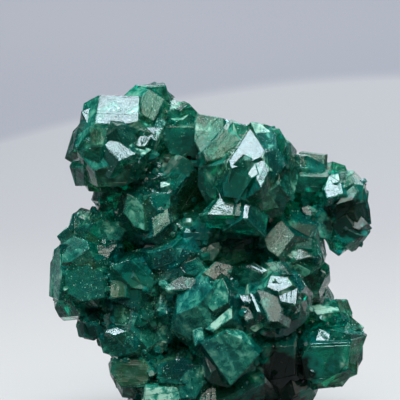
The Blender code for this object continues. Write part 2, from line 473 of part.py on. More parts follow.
def fill_hollows(bm):
    """Keeps only the outermost skin, so that no hollow is left between the crystals."""
    skins = []
    left = set(bm.verts)
    while left:
        skin = {left.pop()}
        rim = list(skin)
        while rim:
            found = {edge.other_vert(vert) for vert in rim for edge in vert.link_edges} & left
            left -= found
            skin |= found
            rim = list(found)
        skins.append(skin)
    skins.sort(key=len)
    for skin in skins[:-1]:
        bmesh.ops.delete(bm, geom=list(skin), context="VERTS")


def emerald():
    """Clear deep green, as copper colours it."""
    material = bpy.data.materials.new("dioptase")
    material.use_nodes = True
    shader = material.node_tree.nodes["Principled BSDF"]
    shader.inputs["Base Color"].default_value = COLOUR
    shader.inputs["Roughness"].default_value = ROUGHNESS
    shader.inputs["Metallic"].default_value = 0.0
    return material


def as_mesh(changed):
    """A plain mesh of an object with its modifiers carried out."""
    bpy.context.view_layer.update()
    return bpy.data.meshes.new_from_object(changed.evaluated_get(bpy.context.evaluated_depsgraph_get()))


def grown_together(first, others):
    """The first crystal and all the others as one solid, as a mesh."""
    union = first.modifiers.new("grown together", "BOOLEAN")
    union.operation = "UNION"
    union.operand_type = "COLLECTION"
    union.collection = others
    return as_mesh(first)


def broken_off(mesh):
    """Takes off what lies under the break and leaves the break flat."""
    bm = bmesh.new()
    bm.from_mesh(mesh)
    fill_hollows(bm)
    cut_face(bm, Vector((0, 0, 0)), Vector((0, 0, -1)))
    bmesh.ops.triangulate(bm, faces=bm.faces)
    bm.to_mesh(mesh)
    bm.free()


def in_the_middle(mesh):
    """Puts the middle of the box over the origin and the break at no height."""
    bm = bmesh.new()
    bm.from_mesh(mesh)
    for vert in bm.verts:
        if abs(vert.co.z) < NEAR_BREAK:
            vert.co.z = 0
    low = Vector(min(vert.co[way] for vert in bm.verts) for way in range(3))
    high = Vector(max(vert.co[way] for vert in bm.verts) for way in range(3))
    middle = (low + high) / 2
    bmesh.ops.translate(bm, verts=bm.verts, vec=(-middle.x, -middle.y, 0))
    bm.to_mesh(mesh)
    bm.free()


def main():
    for leftover in list(bpy.data.objects):
        bpy.data.objects.remove(leftover)
    specimen = bpy.data.collections.new("dioptase specimen")
    crystals = bpy.data.collections.new("crystals")
    for collection in (specimen, crystals):
        bpy.context.scene.collection.children.link(collection)
    rng = random.Random(SEED)
    for core in CORES:
        long_axis = Matrix.Rotation(math.radians(core.lean), 3, "Y") @ Vector((0, 0, 1))
        middle = in_place(core.across, core.up, core.back)
        half_width = core.width / 2 * MM
        half_length = core.tall / 2 * MM
        crystal(middle, long_axis, TO_RIGHT, half_width, half_length, rng, crystals)
    for head in HEADS.values():
        crystals_of(head, rng, crystals)
    for facet in FACETS:
        crystal_behind(facet, rng, crystals)

    first = crystals.objects[0]
    crystals.objects.unlink(first)
    specimen.objects.link(first)
    mesh = grown_together(first, crystals)
    broken_off(mesh)
    for made in list(crystals.objects) + [first]:
        bpy.data.objects.remove(made)
    whole = bpy.data.objects.new(NAME, mesh)
    specimen.objects.link(whole)
    worn = whole.modifiers.new("smallest chips worn away", "DECIMATE")
    worn.ratio = TRIANGLES_KEPT / len(mesh.polygons)
    whole.data = as_mesh(whole)
    whole.modifiers.clear()
    in_the_middle(whole.data)
    whole.data.materials.clear()
    whole.data.materials.append(emerald())


main()
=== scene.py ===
"""Looks for a dioptase specimen, laid out as a Blender add-on.

The solid gives the place and the shape of every crystal. Here its faces get worn rims, growth lines
and pits, small crystals fill the hollows between the heads, and the whole is made of clear deep
green crystal that takes up red light within a few millimetres.
"""

import json
import math
import random

import bmesh
import bpy
from bpy.props import FloatProperty, FloatVectorProperty, IntProperty, PointerProperty
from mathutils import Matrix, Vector
from mathutils.bvhtree import BVHTree

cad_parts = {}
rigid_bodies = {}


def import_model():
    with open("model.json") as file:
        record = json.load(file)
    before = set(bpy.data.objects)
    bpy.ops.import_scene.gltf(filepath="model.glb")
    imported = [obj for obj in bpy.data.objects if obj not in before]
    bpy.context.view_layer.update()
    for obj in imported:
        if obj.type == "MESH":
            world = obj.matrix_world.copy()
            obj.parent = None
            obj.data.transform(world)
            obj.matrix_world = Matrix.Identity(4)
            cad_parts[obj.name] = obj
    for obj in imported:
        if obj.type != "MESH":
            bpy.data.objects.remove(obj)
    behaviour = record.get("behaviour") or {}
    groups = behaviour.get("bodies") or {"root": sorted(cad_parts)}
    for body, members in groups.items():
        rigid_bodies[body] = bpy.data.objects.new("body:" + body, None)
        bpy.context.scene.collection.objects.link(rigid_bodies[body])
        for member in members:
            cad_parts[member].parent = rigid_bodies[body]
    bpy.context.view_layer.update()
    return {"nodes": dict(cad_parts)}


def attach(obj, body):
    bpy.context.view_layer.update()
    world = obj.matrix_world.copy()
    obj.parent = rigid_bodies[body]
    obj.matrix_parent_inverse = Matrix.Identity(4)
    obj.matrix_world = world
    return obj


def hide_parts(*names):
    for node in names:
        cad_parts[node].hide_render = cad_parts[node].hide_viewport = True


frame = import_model()

bl_info = {
    "name": "Dioptase Specimen Looks",
    "version": (1, 0, 0),
    "blender": (4, 5, 0),
    "location": "3D View > Sidebar > Dioptase",
    "description": "Crystal faces with growth marks, small crystals in the hollows and a stage",
    "category": "Object",
}

MM = 0.001
NODE = "dioptase_cluster"

# The photograph: its scale, the pixel under the tables' zero, and how far it looks down.
MM_A_PIXEL = 0.15
ZERO_PIXEL = (210, 436)
MIDDLE_PIXEL = (200, 200)
LOOKS_DOWN = math.radians(8)
LENS = 300
SENSOR = 36
# The tables' zero, seen from the middle of the specimen's box.
TABLE_ZERO = Vector((-0.12324, -3.16209, 0)) * MM

# Rays towards the specimen start this far in front of it, in the tables' millimetres.
RAYS_START = -60

TO_TOP = Vector((0, math.sin(LOOKS_DOWN), math.cos(LOOKS_DOWN)))
TO_VIEWER = Vector((0, -math.cos(LOOKS_DOWN), math.sin(LOOKS_DOWN)))

# From a crystal's long axis to the normal of an end face, in dioptase.
END_FACE_TILT = math.radians(50.97)
# How unevenly the faces of a small crystal stand out, as a share of its half width.
UNEVEN = 0.08

# Faces count as one where they turn less than this, and corners where they lie closer than this.
FLAT = math.radians(2)
SAME_CORNER = 1e-7
# The flat break: its faces point down more than this and lie lower than this.
BREAK_DOWN = -0.9
BREAK_HEIGHT = 0.1 * MM
# A face whose area over its outline is less than this gets no rim, nor one with a sharper corner.
LEAST_FACE = 0.16 * MM
LEAST_CORNER = math.radians(28)
# Of the faces, how many carry growth lines, fine pits or milky cloud, and how many are dark.
LINED_SHARE = 0.4
PITTED_SHARE = 0.2
CLOUDY_SHARE = 0.14
DARK_SHARE = 0.26
# How strong these are on the faces that carry them, and on the others.
LINED, UNLINED = (0.5, 1.0), (0.0, 0.25)
PITTED, UNPITTED = (0.6, 1.0), (0.0, 0.35)
CLOUDY, UNCLOUDED = (0.2, 0.9), (-0.15, 0.1)
DARK = (-0.9, -0.4)
# Tones drawn at random crowd towards blue green by this power.
MOSTLY_COOL = 1.6
# How many of the wide faces are laid in strips, how wide they are at least, and how the cuts lean.
TERRACED_SHARE = 0.55
LEAST_TERRACED = 2.5 * LEAST_FACE
MOST_TERRACES = 3
TERRACE_LEAN = 0.05
# Worn rims come in several sorts, each wider, deeper and paler than the one before by a step. Widths
# are shares of the rim's width, and depths shares of the deepest step between two strips.
RIM_SORTS = 6
LEAST_WIDTH, WIDTH_STEP = 0.4, 0.12
LEAST_DEPTH, DEPTH_STEP = 0.1, 0.18
PALE_STEP = 0.09
TERRACE = 0.12 * MM

# The scatter stands on the solid's skin, cut in a few rounds until few edges are longer than this.
LONG_EDGE = 1.4 * MM
ROUNDS = 3
# Rays from each corner tell how closed in it is: how many, how far they look, how far off they start.
RAYS = 12
REACH = 7 * MM
OFF_SKIN = 0.05 * MM
# A corner with less of its rays shut in than this counts as open, and the rest gain by this power.
OPEN = 0.25
CROWDING = 1.5
# Nothing is scattered nearer to the break than this.
BARE_FOOT = 1.5 * MM
# How far what is scattered leans off the skin, in radians, and how dark the darkest of it is.
LEAN = 1.6
DARKEST = -0.8

# Patterns in the crystal, by how far apart their marks are.
PITS_APART = MM / 9
GRAINS_APART = MM / 6.4
FLECKS_APART = MM / 3
RIPPLES_APART = MM / 1.6
WISPS_APART = MM / 0.7
SOWN_APART = MM / 0.52
RAGS_APART = MM / 0.42
PATCHES_APART = MM / 0.33
DRIFTS_APART = MM / 0.16
# Marks in line with the growth, by how many fit in a millimetre along it and across it.
LINES = (0.35, 7.0, 1.0)
BLOCKS = (0.5, 1.3, 1.0)
THREADS = (0.5, 6.0, 1.0)
STEPS = 0.9
# How deep the marks are on a face that carries them. Pits and grains are never quite absent.
LINE_DEPTH = 0.03 * MM
BLOCK_DEPTH = 0.13 * MM
STEP_DEPTH = 0.02 * MM
PIT_DEPTH, LEAST_PIT = 0.012 * MM, 0.001 * MM
RIPPLE_DEPTH = 0.008 * MM
GRAIN_SLOPE, LEAST_SLOPE = 0.14, 0.03
# How sharply each pattern is cut out of its noise, which is multiplied by the first number before the
# second is added.
DRIFTING = (1.6, -0.65)
TORN = (6.0, -2.1)
STRAY = (3.0, -1.65)
PICKED = (3.0, -1.7)
SOWN = (5.0, -2.3)
THREADED = (12.0, -7.6)
LIGHT_MOTTLES = (8.0, -4.5)
DARK_MOTTLES = (-8.0, 3.7)
# How far the outline of a named place strays.
RAGGED = 4 * MM

# The paper, in metres: its pale round of painted light, how soft the round's edge is, where it turns
# from dark to pale under the specimen, and where painted shade, as the light falls off, darkens it behind
# it and how much.
LIT_ROUND = Vector((0.052, 0.132, 0))
LIT_RADIUS = 0.17
SOFT_EDGE = 0.006
DARK_BEFORE, PALE_FROM = -0.03, 0.025
FALLOFF_SHADE_FROM, FALLOFF_SHADE_TO, FALLOFF_SHADE_DEPTH = 0.05, 0.27, 0.54
SHADED_FOLDS_APART = 1 / 9

# The soft lights: name, the stage's value for its watts, turn and tilt in degrees, size and colour.
LIGHTS_AWAY = 0.6
LIGHTS = (
    ("key", "key", -5, 74, (0.32, 0.32), (0.78, 0.9, 1.0)),
    ("fill", "fill", 0, 42, (0.5, 0.24), (1.0, 0.94, 0.86)),
    ("left", "side", -75, 25, (0.35, 0.35), (0.95, 0.98, 1.0)),
    ("right", "side", 80, 20, (0.35, 0.35), (1.0, 0.96, 0.92)),
    ("behind", "behind", 160, 45, (0.5, 0.5), (0.95, 0.98, 1.0)),
)
ROOM_COLOUR = (0.95, 0.97, 1.0)

# Kinds of node that are used often, and sockets of the Mix node, whose names repeat, by number.
MATHS = "ShaderNodeMath"
VECTORS = "ShaderNodeVectorMath"
NOISE = "ShaderNodeTexNoise"
CELLS = "ShaderNodeTexVoronoi"
RANGE = "ShaderNodeMapRange"
MIX = "ShaderNodeMix"
FIRST_NUMBER, SECOND_NUMBER = 2, 3
FIRST_COLOUR, SECOND_COLOUR, MIXED_COLOUR = 6, 7, 2

# Named faces as they show from the front: across and up in millimetres, tone from blue green at 0
# to olive at 1, and how strongly the face is lined, pitted and cloudy, or below 0 how dark it is: the
# crystal's own dark on some, painted shade on faces in the hollows and under the heads.
FINISHES = (
    # The upper left head.
    (-13.6, 48.8, 0.1, 0.2, 0.75, 0.0),
    (-10.9, 51.7, 0.6, 0.3, 0.3, 0.5),
    (-7.3, 51.7, 0.8, 0.6, 0.2, 0.4),
    (-8.6, 49.6, 0.7, 1.0, 0.8, 0.1),
    (-18.1, 47.0, 0.4, 0.2, 0.3, 0.4),
    (-16.6, 44.8, 0.8, 0.7, 0.5, 0.3),
    (-13.4, 42.8, 0.4, 0.8, 0.5, 0.1),
    (-8.2, 45.4, 0.8, 0.9, 0.3, 0.4),
    (-7.9, 43.6, 0.5, 0.4, 0.3, 0.5),
    (-6.5, 40.9, 0.2, 0.2, 0.2, 1.0),
    (-17.0, 40.9, 0.4, 0.3, 0.3, 0.3),
    (-4.4, 44.3, 0.4, 0.4, 0.2, -0.5),
    (-18.1, 39.7, 0.3, 0.2, 0.2, -0.6),
    (-14.9, 41.2, 0.4, 0.6, 0.2, -0.3),
    (-14.5, 38.8, 0.4, 0.2, 0.2, -0.8),
    # The upper middle head.
    (0.0, 46.6, 0.7, 1.0, 0.85, 0.1),
    (4.6, 46.1, 0.4, 0.3, 0.3, 0.4),
    (1.6, 43.8, 0.5, 1.0, 0.3, 0.3),
    (5.8, 43.4, 0.1, 0.3, 0.4, 0.0),
    (5.9, 40.0, 0.3, 0.6, 0.2, 0.1),
    (3.6, 38.2, 0.3, 0.0, 0.0, -0.2),
    (-0.2, 38.2, 0.3, 0.2, 0.2, -0.6),
    (11.2, 38.3, 0.3, 0.2, 0.2, -0.7),
    (12.7, 38.5, 0.3, 0.2, 0.2, -0.7),
    (14.9, 37.9, 0.3, 0.2, 0.2, -0.6),
    (10.3, 35.2, 0.3, 0.2, 0.2, -0.6),
    (12.5, 34.6, 0.3, 0.2, 0.2, -0.7),
    (1.8, 34.6, 0.9, 0.8, 0.6, 0.1),
    # The right head.
    (18.4, 37.8, 0.1, 0.4, 0.4, 0.1),
    (20.4, 38.4, 0.6, 0.7, 0.2, 0.2),
    (17.2, 31.4, 0.3, 0.0, 0.1, 0.6),
    (19.7, 31.7, 0.3, 0.1, 0.1, -0.9),
    (23.0, 34.0, 0.3, 0.1, 0.1, -0.9),
    (20.5, 29.8, 0.3, 0.1, 0.1, -0.9),
    # The middle.
    (10.4, 29.6, 0.7, 0.9, 0.8, 0.1),
    (1.1, 32.2, 0.3, 0.2, 0.2, -0.6),
    (5.2, 31.1, 0.3, 0.2, 0.2, -0.6),
    (-1.4, 30.8, 0.3, 0.1, 0.1, -0.9),
    (-11.0, 33.6, 0.5, 0.1, 0.3, 0.5),
    (-7.4, 35.3, 0.4, 0.3, 0.3, 0.3),
    (-7.2, 32.0, 0.8, 0.5, 0.3, 0.2),
    (-15.2, 30.8, 0.3, 0.1, 0.3, 0.4),
    (-2.3, 25.3, 0.2, 0.3, 0.2, 0.3),
    (-2.5, 21.2, 0.0, 0.3, 0.2, 0.4),
    (1.4, 20.9, 0.4, 0.3, 0.3, 0.5),
    (5.9, 23.9, 0.4, 0.3, 0.3, 0.4),
    (7.4, 22.7, 0.3, 0.3, 0.3, 0.5),
    (4.4, 21.8, 0.3, 0.3, 0.3, 0.3),
    (9.0, 20.6, 0.6, 0.4, 0.4, 0.3),
    (15.7, 23.2, 0.3, 0.2, 0.2, -0.5),
    (14.8, 20.2, 0.3, 0.2, 0.2, -0.5),
    (11.2, 17.6, 0.3, 0.2, 0.2, -0.7),
    (12.4, 16.7, 0.3, 0.2, 0.2, -0.7),
    # The left head.
    (-20.3, 28.0, 0.3, 0.2, 0.4, 0.4),
    (-19.0, 26.6, 0.3, 0.2, 1.0, 0.5),
    (-16.1, 25.9, 0.4, 0.3, 1.0, 0.3),
    (-18.4, 23.0, 0.1, 0.1, 1.0, 0.2),
    (-23.2, 24.1, 0.3, 0.2, 0.4, 0.5),
    (-13.9, 22.0, 1.0, 0.3, 0.2, -0.6),
    (-21.5, 19.1, 0.3, 0.2, 0.2, -0.5),
    # The lower left.
    (-9.4, 20.8, 0.3, 0.2, 1.0, 0.2),
    (-7.1, 19.7, 0.1, 0.1, 0.1, 0.9),
    (-11.0, 18.4, 0.1, 0.2, 1.0, 0.5),
    (-7.1, 17.6, 0.2, 0.3, 0.2, 0.3),
    (-3.1, 17.0, 0.2, 0.3, 0.2, 0.4),
    (-0.5, 19.1, 0.2, 0.3, 0.2, 0.5),
    (-10.3, 15.8, 0.3, 0.2, 0.4, 0.4),
    (-6.4, 15.8, 0.3, 0.1, 0.3, 0.5),
    (-1.7, 15.1, 0.1, 0.2, 0.2, 0.7),
    (-14.0, 13.3, 0.4, 0.3, 0.2, -0.3),
    (-11.6, 9.6, 1.0, 0.9, 0.3, -0.6),
    (-4.4, 12.5, 1.0, 0.3, 0.2, -0.8),
    (-5.8, 11.8, 1.0, 0.3, 0.2, -0.8),
    (-7.1, 6.4, 0.1, 0.2, 0.2, 1.0),
    (-8.0, 7.7, 0.2, 0.2, 0.2, 0.4),
    (-2.6, 7.7, 0.2, 0.2, 0.2, 0.3),
    # The block, and the lower right.
    (2.6, 12.4, 0.0, 0.1, 0.5, 0.48),
    (2.3, 16.4, 0.1, 0.2, 0.2, 0.6),
    (3.7, 15.5, 0.1, 0.2, 0.2, 0.7),
    (10.6, 11.3, 0.3, 0.1, 0.1, -0.9),
    (13.4, 10.6, 0.3, 0.1, 0.1, -0.9),
    (13.4, 7.6, 0.3, 0.1, 0.1, -0.9),
    (17.2, 19.0, 0.1, 0.2, 0.2, 1.0),
    (17.5, 18.1, 0.2, 0.2, 0.2, 0.4),
    (17.3, 11.3, 0.3, 0.2, 0.2, -0.5),
    (18.6, 11.9, 0.3, 0.2, 0.3, 0.1),
    (22.8, 13.4, 0.5, 1.0, 0.2, -0.2),
)

# Clouds of fine cracks inside, which shine light green: middle across and up, how far back, radius
# and strength, in millimetres.
CLOUDS = (
    (-6.8, 41.6, -4.0, 3.2, 1.0),
    (-7.0, 6.4, -6.0, 3.0, 0.9),
    (17.2, 18.8, -1.0, 2.6, 1.0),
    (22.0, 17.0, -1.0, 1.4, 0.9),
    (7.4, 24.4, -8.0, 1.8, 0.7),
    (3.0, 15.6, -10.0, 1.6, 0.9),
    (17.3, 31.4, -3.0, 2.0, 0.6),
    (-19.0, 33.0, -2.0, 2.2, 0.6),
    (-5.2, 48.2, 0.0, 1.2, 0.6),
    (10.8, 45.0, -2.0, 1.6, 0.5),
)

# Dark places, as above: partly so crowded with flaws that light neither enters nor leaves, partly painted
# shade in the gaps between crystals, in notches and under the heads.
DARK_AND_SHADED_PLACES = (
    (20.8, 33.2, -1.5, 5.0, 0.95),
    (10.4, 9.0, -5.0, 7.6, 1.0),
    (-11.2, 9.4, -5.0, 4.4, 0.8),
    (-18.0, 16.4, -3.0, 3.0, 0.9),
    (5.0, 31.0, -4.0, 5.0, 0.85),
    (-12.5, 27.6, -3.0, 3.0, 0.8),
    (-11.8, 22.2, -6.0, 3.6, 0.6),
    (-13.6, 38.6, -5.0, 4.0, 0.75),
    (4.6, 37.6, -10.0, 3.6, 0.75),
    (11.8, 16.6, -8.0, 3.6, 0.8),
    (-3.2, 42.0, -3.0, 4.4, 0.8),
    (-1.6, 38.4, -5.0, 3.6, 0.8),
    (-2.2, 30.2, -4.0, 3.0, 0.8),
    (-9.8, 29.4, -4.0, 3.0, 0.8),
    (-14.6, 18.6, -5.0, 2.4, 0.8),
    (1.0, 29.0, -5.0, 3.2, 0.6),
    (20.0, 10.6, -4.0, 2.6, 0.5),
)

# Places that glitter with flecks and pale threads, as above.
SPECKLED = (
    (-18.6, 22.6, -4.0, 6.0, 1.0),
    (-11.0, 16.8, -7.0, 5.6, 1.0),
    (-9.0, 8.0, -7.0, 4.6, 1.0),
    (-1.6, 38.8, -5.0, 4.0, 0.9),
    (-17.0, 43.6, -4.0, 3.6, 0.8),
    (-10.0, 35.6, -5.0, 4.0, 0.7),
    (-7.6, 26.4, -5.0, 3.4, 0.8),
    (12.6, 34.4, -6.0, 4.0, 0.8),
    (10.0, 37.6, -8.0, 3.0, 0.8),
    (9.6, 26.6, -6.0, 3.0, 0.7),
    (20.0, 16.4, -3.0, 3.0, 0.8),
)

# Where more or fewer small crystals and specks sit: middle across and up, radius, and how many times.
CROWDED = (
    (5.6, 40.4, 7.4, 0.2),
    (20.0, 36.0, 6.0, 0.3),
    (-11.6, 16.4, 5.4, 3.0),
    (-19.0, 23.4, 5.0, 2.0),
    (-8.0, 38.0, 3.6, 2.0),
    (-13.8, 45.0, 4.6, 0.4),
    (2.6, 12.4, 5.0, 0.3),
    (18.2, 11.6, 4.2, 0.4),
    (-7.0, 6.6, 4.0, 4.0),
    (6.0, 31.6, 5.0, 1.6),
)


def linear(text):
    """An sRGB colour such as 0A7A5C as linear red, green and blue."""
    shown = [int(text[at:at + 2], 16) / 255 for at in (0, 2, 4)]
    return [part / 12.92 if part <= 0.04045 else ((part + 0.055) / 1.055) ** 2.4 for part in shown]


def in_place(across, up, back):
    """The point that shows this far across and up from the front and lies this far back."""
    height = (up - back * math.sin(LOOKS_DOWN)) / math.cos(LOOKS_DOWN)
    return Vector((across, back, height)) * MM + TABLE_ZERO


def facing(turn, tilt):
    """The direction turned to the right of the viewer and tilted up, in degrees."""
    turn, tilt = math.radians(turn), math.radians(tilt)
    return Vector((math.sin(turn) * math.cos(tilt), -math.cos(turn) * math.cos(tilt), math.sin(tilt)))


class CrystalLooks(bpy.types.PropertyGroup):
    """The crystal itself."""

    body: FloatVectorProperty(
        name="Body", description="What the surface and fine cracks send back", subtype="COLOR",
        default=linear("14D2B4"), min=0, max=1,
    )
    blue_green: FloatVectorProperty(
        name="Blue green", description="Body colour at the cool end", subtype="COLOR",
        default=linear("10C4C0"), min=0, max=1,
    )
    olive: FloatVectorProperty(
        name="Olive", description="Body colour at the warm end", subtype="COLOR",
        default=linear("62AE7C"), min=0, max=1,
    )
    cloud: FloatVectorProperty(
        name="Cloud", description="Colour of the clouds of fine cracks", subtype="COLOR",
        default=linear("46D8AE"), min=0, max=1,
    )
    frost: FloatVectorProperty(
        name="Frost", description="Colour of the densest clouds", subtype="COLOR",
        default=linear("C8FFE4"), min=0, max=1,
    )
    # The dark colour is the crystal's own dark, and also painted shade in the gaps and under the heads.
    dark: FloatVectorProperty(
        name="Dark", description="Colour of the crowded dark places", subtype="COLOR",
        default=linear("06221A"), min=0, max=1,
    )
    # Shares that a thin layer lets through, which are measures and so are given as they are.
    takes_up: FloatVectorProperty(
        name="Clear colour", description="What the depth of the crystal lets through", subtype="COLOR",
        default=(0.0, 0.942, 0.923), min=0, max=1,
    )
    density: FloatProperty(
        name="Absorption", description="How strongly it takes up light, a metre", default=2600.0, min=0,
    )
    clearness: FloatProperty(
        name="Clearness", description="Share of the light that enters", default=0.9, min=0, max=1,
    )
    rim: FloatProperty(
        name="Rim", description="Width of the worn rim of each face", default=0.1 * MM, min=0,
        unit="LENGTH",
    )


class SmallCrystals(bpy.types.PropertyGroup):
    """The small crystals in the hollows."""

    density: FloatProperty(
        name="Density", description="Crystals on a square metre in the deepest hollows",
        default=1.6e6, min=0,
    )
    least: FloatProperty(
        name="Least", description="Half width of the smallest", default=0.12 * MM, min=0, unit="LENGTH",
    )
    most: FloatProperty(
        name="Most", description="Half width of the largest", default=0.62 * MM, min=0, unit="LENGTH",
    )
    palest: FloatProperty(name="Palest", description="How cloudy the palest is", default=0.4)
    seed: IntProperty(name="Seed", description="Which scatter", default=7)


class Specks(bpy.types.PropertyGroup):
    """The specks that glitter on the crystals."""

    density: FloatProperty(
        name="Density", description="Specks on a square metre in the deepest hollows",
        default=6e6, min=0,
    )
    least: FloatProperty(
        name="Least", description="Half width of the smallest", default=0.05 * MM, min=0, unit="LENGTH",
    )
    most: FloatProperty(
        name="Most", description="Half width of the largest", default=0.24 * MM, min=0, unit="LENGTH",
    )
    palest: FloatProperty(name="Palest", description="How cloudy the palest is", default=1.6)
    seed: IntProperty(name="Seed", description="Which scatter", default=3)


class Stage(bpy.types.PropertyGroup):
    """Floor, light and camera."""

    floor: FloatVectorProperty(
        name="Floor", description="Colour of the floor and backdrop", subtype="COLOR",
        default=linear("CBC7C4"), min=0, max=1,
    )
    near: FloatVectorProperty(
        name="Near floor", description="Colour of the paper in front of the specimen", subtype="COLOR",
        default=linear("303234"), min=0, max=1,
    )
    # The far floor colour is painted shade: the paper beyond the painted round of light and far behind the
    # specimen.
    far: FloatVectorProperty(
        name="Far floor", description="Colour of the paper beyond the pale round", subtype="COLOR",
        default=linear("9D9DA6"), min=0, max=1,
    )
    key: FloatProperty(name="Key", description="Watts of the high soft light", default=4.2, min=0)
    fill: FloatProperty(name="Fill", description="Watts of the warm front light", default=1.2, min=0)
    side: FloatProperty(name="Side", description="Watts of each side light", default=0.25, min=0)
    behind: FloatProperty(name="Behind", description="Watts of the light from behind", default=2.2, min=0)
    room: FloatProperty(name="Room", description="Strength of the room's own light", default=0.02, min=0)


def solid_copy():
    """The solid's mesh as a bmesh, with the corners that its triangles share merged."""
    bm = bmesh.new()
    bm.from_mesh(frame["nodes"][NODE].data)
    bmesh.ops.remove_doubles(bm, verts=bm.verts, dist=SAME_CORNER)
    return bm


def askew(direction, by, rng):
    """The direction, leaning at random by about this many radians."""
    return (direction + Vector((rng.gauss(0, by), rng.gauss(0, by), rng.gauss(0, by)))).normalized()


def number_faces(bm, layer):
    """Gives each crystal face, of however many polygons, its own number, and says how many."""
    for face in bm.faces:
        face[layer] = -1
    count = 0
    for start in bm.faces:
        if start[layer] >= 0:
            continue
        start[layer] = count
        rim = [start]
        while rim:
            face = rim.pop()
            for edge in face.edges:
                for other in edge.link_faces:
                    if other[layer] < 0 and other.normal.angle(start.normal, 0) < FLAT:
                        other[layer] = count
                        rim.append(other)
        count += 1
    return count


def wide_faces(bm, least):
    """The faces off the break whose area over their outline is at least this, with no sharp corner."""
    wide = []
    for face in bm.faces:
        around = sum(edge.calc_length() for edge in face.edges)
        on_break = face.normal.z < BREAK_DOWN and face.calc_center_median().z < BREAK_HEIGHT
        sharpest = min(loop.calc_angle() for loop in face.loops)
        if face.calc_area() / around > least and not on_break and sharpest > LEAST_CORNER:
            wide.append(face)
    return wide


def lay_terraces(bm, rng):
    """Cuts some wide faces into strips along their longest edge, as layers of growth leave them."""
    for face in wide_faces(bm, LEAST_TERRACED):
        if rng.random() > TERRACED_SHARE:
            continue
        longest = max(face.edges, key=lambda edge: edge.calc_length())
        line = longest.verts[1].co - longest.verts[0].co
        along = line.normalized()
        across = face.normal.cross(line).normalized()
        reaches = [vert.co.dot(across) for vert in face.verts]
        strips = [face]
        for _ in range(rng.randint(1, MOST_TERRACES)):
            at = rng.uniform(min(reaches), max(reaches))
            skew = askew(across, TERRACE_LEAN, rng)
            geom = set(strips)
            for strip in strips:
                geom |= set(strip.edges) | set(strip.verts)
            corner = face.verts[0].co
            on_face = face.normal * corner.dot(face.normal)
            cut = bmesh.ops.bisect_plane(
                bm, geom=list(geom), dist=1e-6, plane_no=skew,
                plane_co=across * at + on_face + along * corner.dot(along),
            )
            strips = [made for made in cut["geom"] if isinstance(made, bmesh.types.BMFace)]


def wear_rims(bm, width, pale, rng):
    """Slopes a narrow rim off every wide face, each by its own depth, and notes how pale it is."""
    wide = wide_faces(bm, LEAST_FACE)
    rng.shuffle(wide)
    for sort in range(RIM_SORTS):
        rims = bmesh.ops.inset_individual(
            bm, faces=wide[sort::RIM_SORTS], thickness=width * (LEAST_WIDTH + WIDTH_STEP * sort),
            depth=TERRACE * (LEAST_DEPTH + DEPTH_STEP * sort), use_even_offset=False,
        )
        for face in rims["faces"]:
            face[pale] = rng.uniform(0, PALE_STEP * sort)


def drawn(share, strong, faint, rng):
    """A strength out of the strong range for this share of the faces, and else out of the faint one."""
    return rng.uniform(*strong) if rng.random() < share else rng.uniform(*faint)


def finish_of(count, bm, layer, rng):
    """Tone, lines, pits and cloud for every numbered face: drawn at random, then the named ones."""
    finishes = []
    for _ in range(count):
        lined = drawn(LINED_SHARE, LINED, UNLINED, rng)
        pitted = drawn(PITTED_SHARE, PITTED, UNPITTED, rng)
        cloudy = drawn(CLOUDY_SHARE, CLOUDY, UNCLOUDED, rng)
        if rng.random() < DARK_SHARE:
            cloudy = rng.uniform(*DARK)
        finishes.append((rng.random() ** MOSTLY_COOL, lined, pitted, cloudy))
    tree = BVHTree.FromBMesh(bm)
    bm.faces.ensure_lookup_table()
    for across, up, *finish in FINISHES:
        struck = tree.ray_cast(in_place(across, up, RAYS_START), -TO_VIEWER)
        finishes[bm.faces[struck[2]][layer]] = tuple(finish)
    return finishes


def lay_out(bm, layer, pale, finishes):
    """Growth marks run along the longest edge of each face: its map, in millimetres, and its finish."""
    along = {}
    for face in bm.faces:
        for edge in face.edges:
            length = edge.calc_length()
            number = face[layer]
            if number not in along or length > along[number][0]:
                along[number] = (length, (edge.verts[1].co - edge.verts[0].co).normalized())
    growth = bm.loops.layers.uv.new("growth")
    finish = bm.loops.layers.float_color.new("finish")
    for face in bm.faces:
        number = face[layer]
        line = along[number][1]
        across = face.normal.cross(line).normalized()
        for loop in face.loops:
            loop[growth].uv = (loop.vert.co.dot(line) / MM, loop.vert.co.dot(across) / MM + number)
            tone, lined, pitted, cloudy = finishes[number]
            loop[finish] = (tone, lined, pitted, max(cloudy, face[pale]))


def add(tree, kind, inputs=(), **settings):
    """Adds a node with these settings.

    Its inputs are given by name or number, or in their order. Each is a value, a socket to link to it,
    or a node whose first output is linked to it.
    """
    node = tree.nodes.new(kind)
    for name, value in settings.items():
        setattr(node, name, value)
    named = inputs if isinstance(inputs, dict) else dict(enumerate(inputs))
    for name, value in named.items():
        if isinstance(value, bpy.types.Node):
            value = value.outputs[0]
        if isinstance(value, bpy.types.NodeSocket):
            tree.links.new(value, node.inputs[name])
        else:
            node.inputs[name].default_value = value
    return node


def opaque(colour):
    return (*colour, 1.0)


def layered(tree, ground, layers):
    """A ground colour with others laid over it in turn, each where its own factor is high."""
    colour = opaque(ground)
    for factor, over in layers:
        colour = add(tree, MIX, {
            "Factor": factor, FIRST_COLOUR: colour, SECOND_COLOUR: opaque(over),
        }, data_type="RGBA").outputs[MIXED_COLOUR]
    return colour


def leaning_cells(tree, place, scale):
    """A height made of cells that slope each its own way: up to half a step across for each step."""
    cells = add(tree, CELLS, {"Vector": place, "Scale": scale, "Randomness": 1.0})
    away = add(tree, VECTORS, (place, cells.outputs["Position"]), operation="SUBTRACT")
    slope = add(tree, VECTORS, (cells.outputs["Color"], (0.5, 0.5, 0.5)), operation="SUBTRACT")
    return add(tree, VECTORS, (away, slope), operation="DOT_PRODUCT").outputs["Value"]


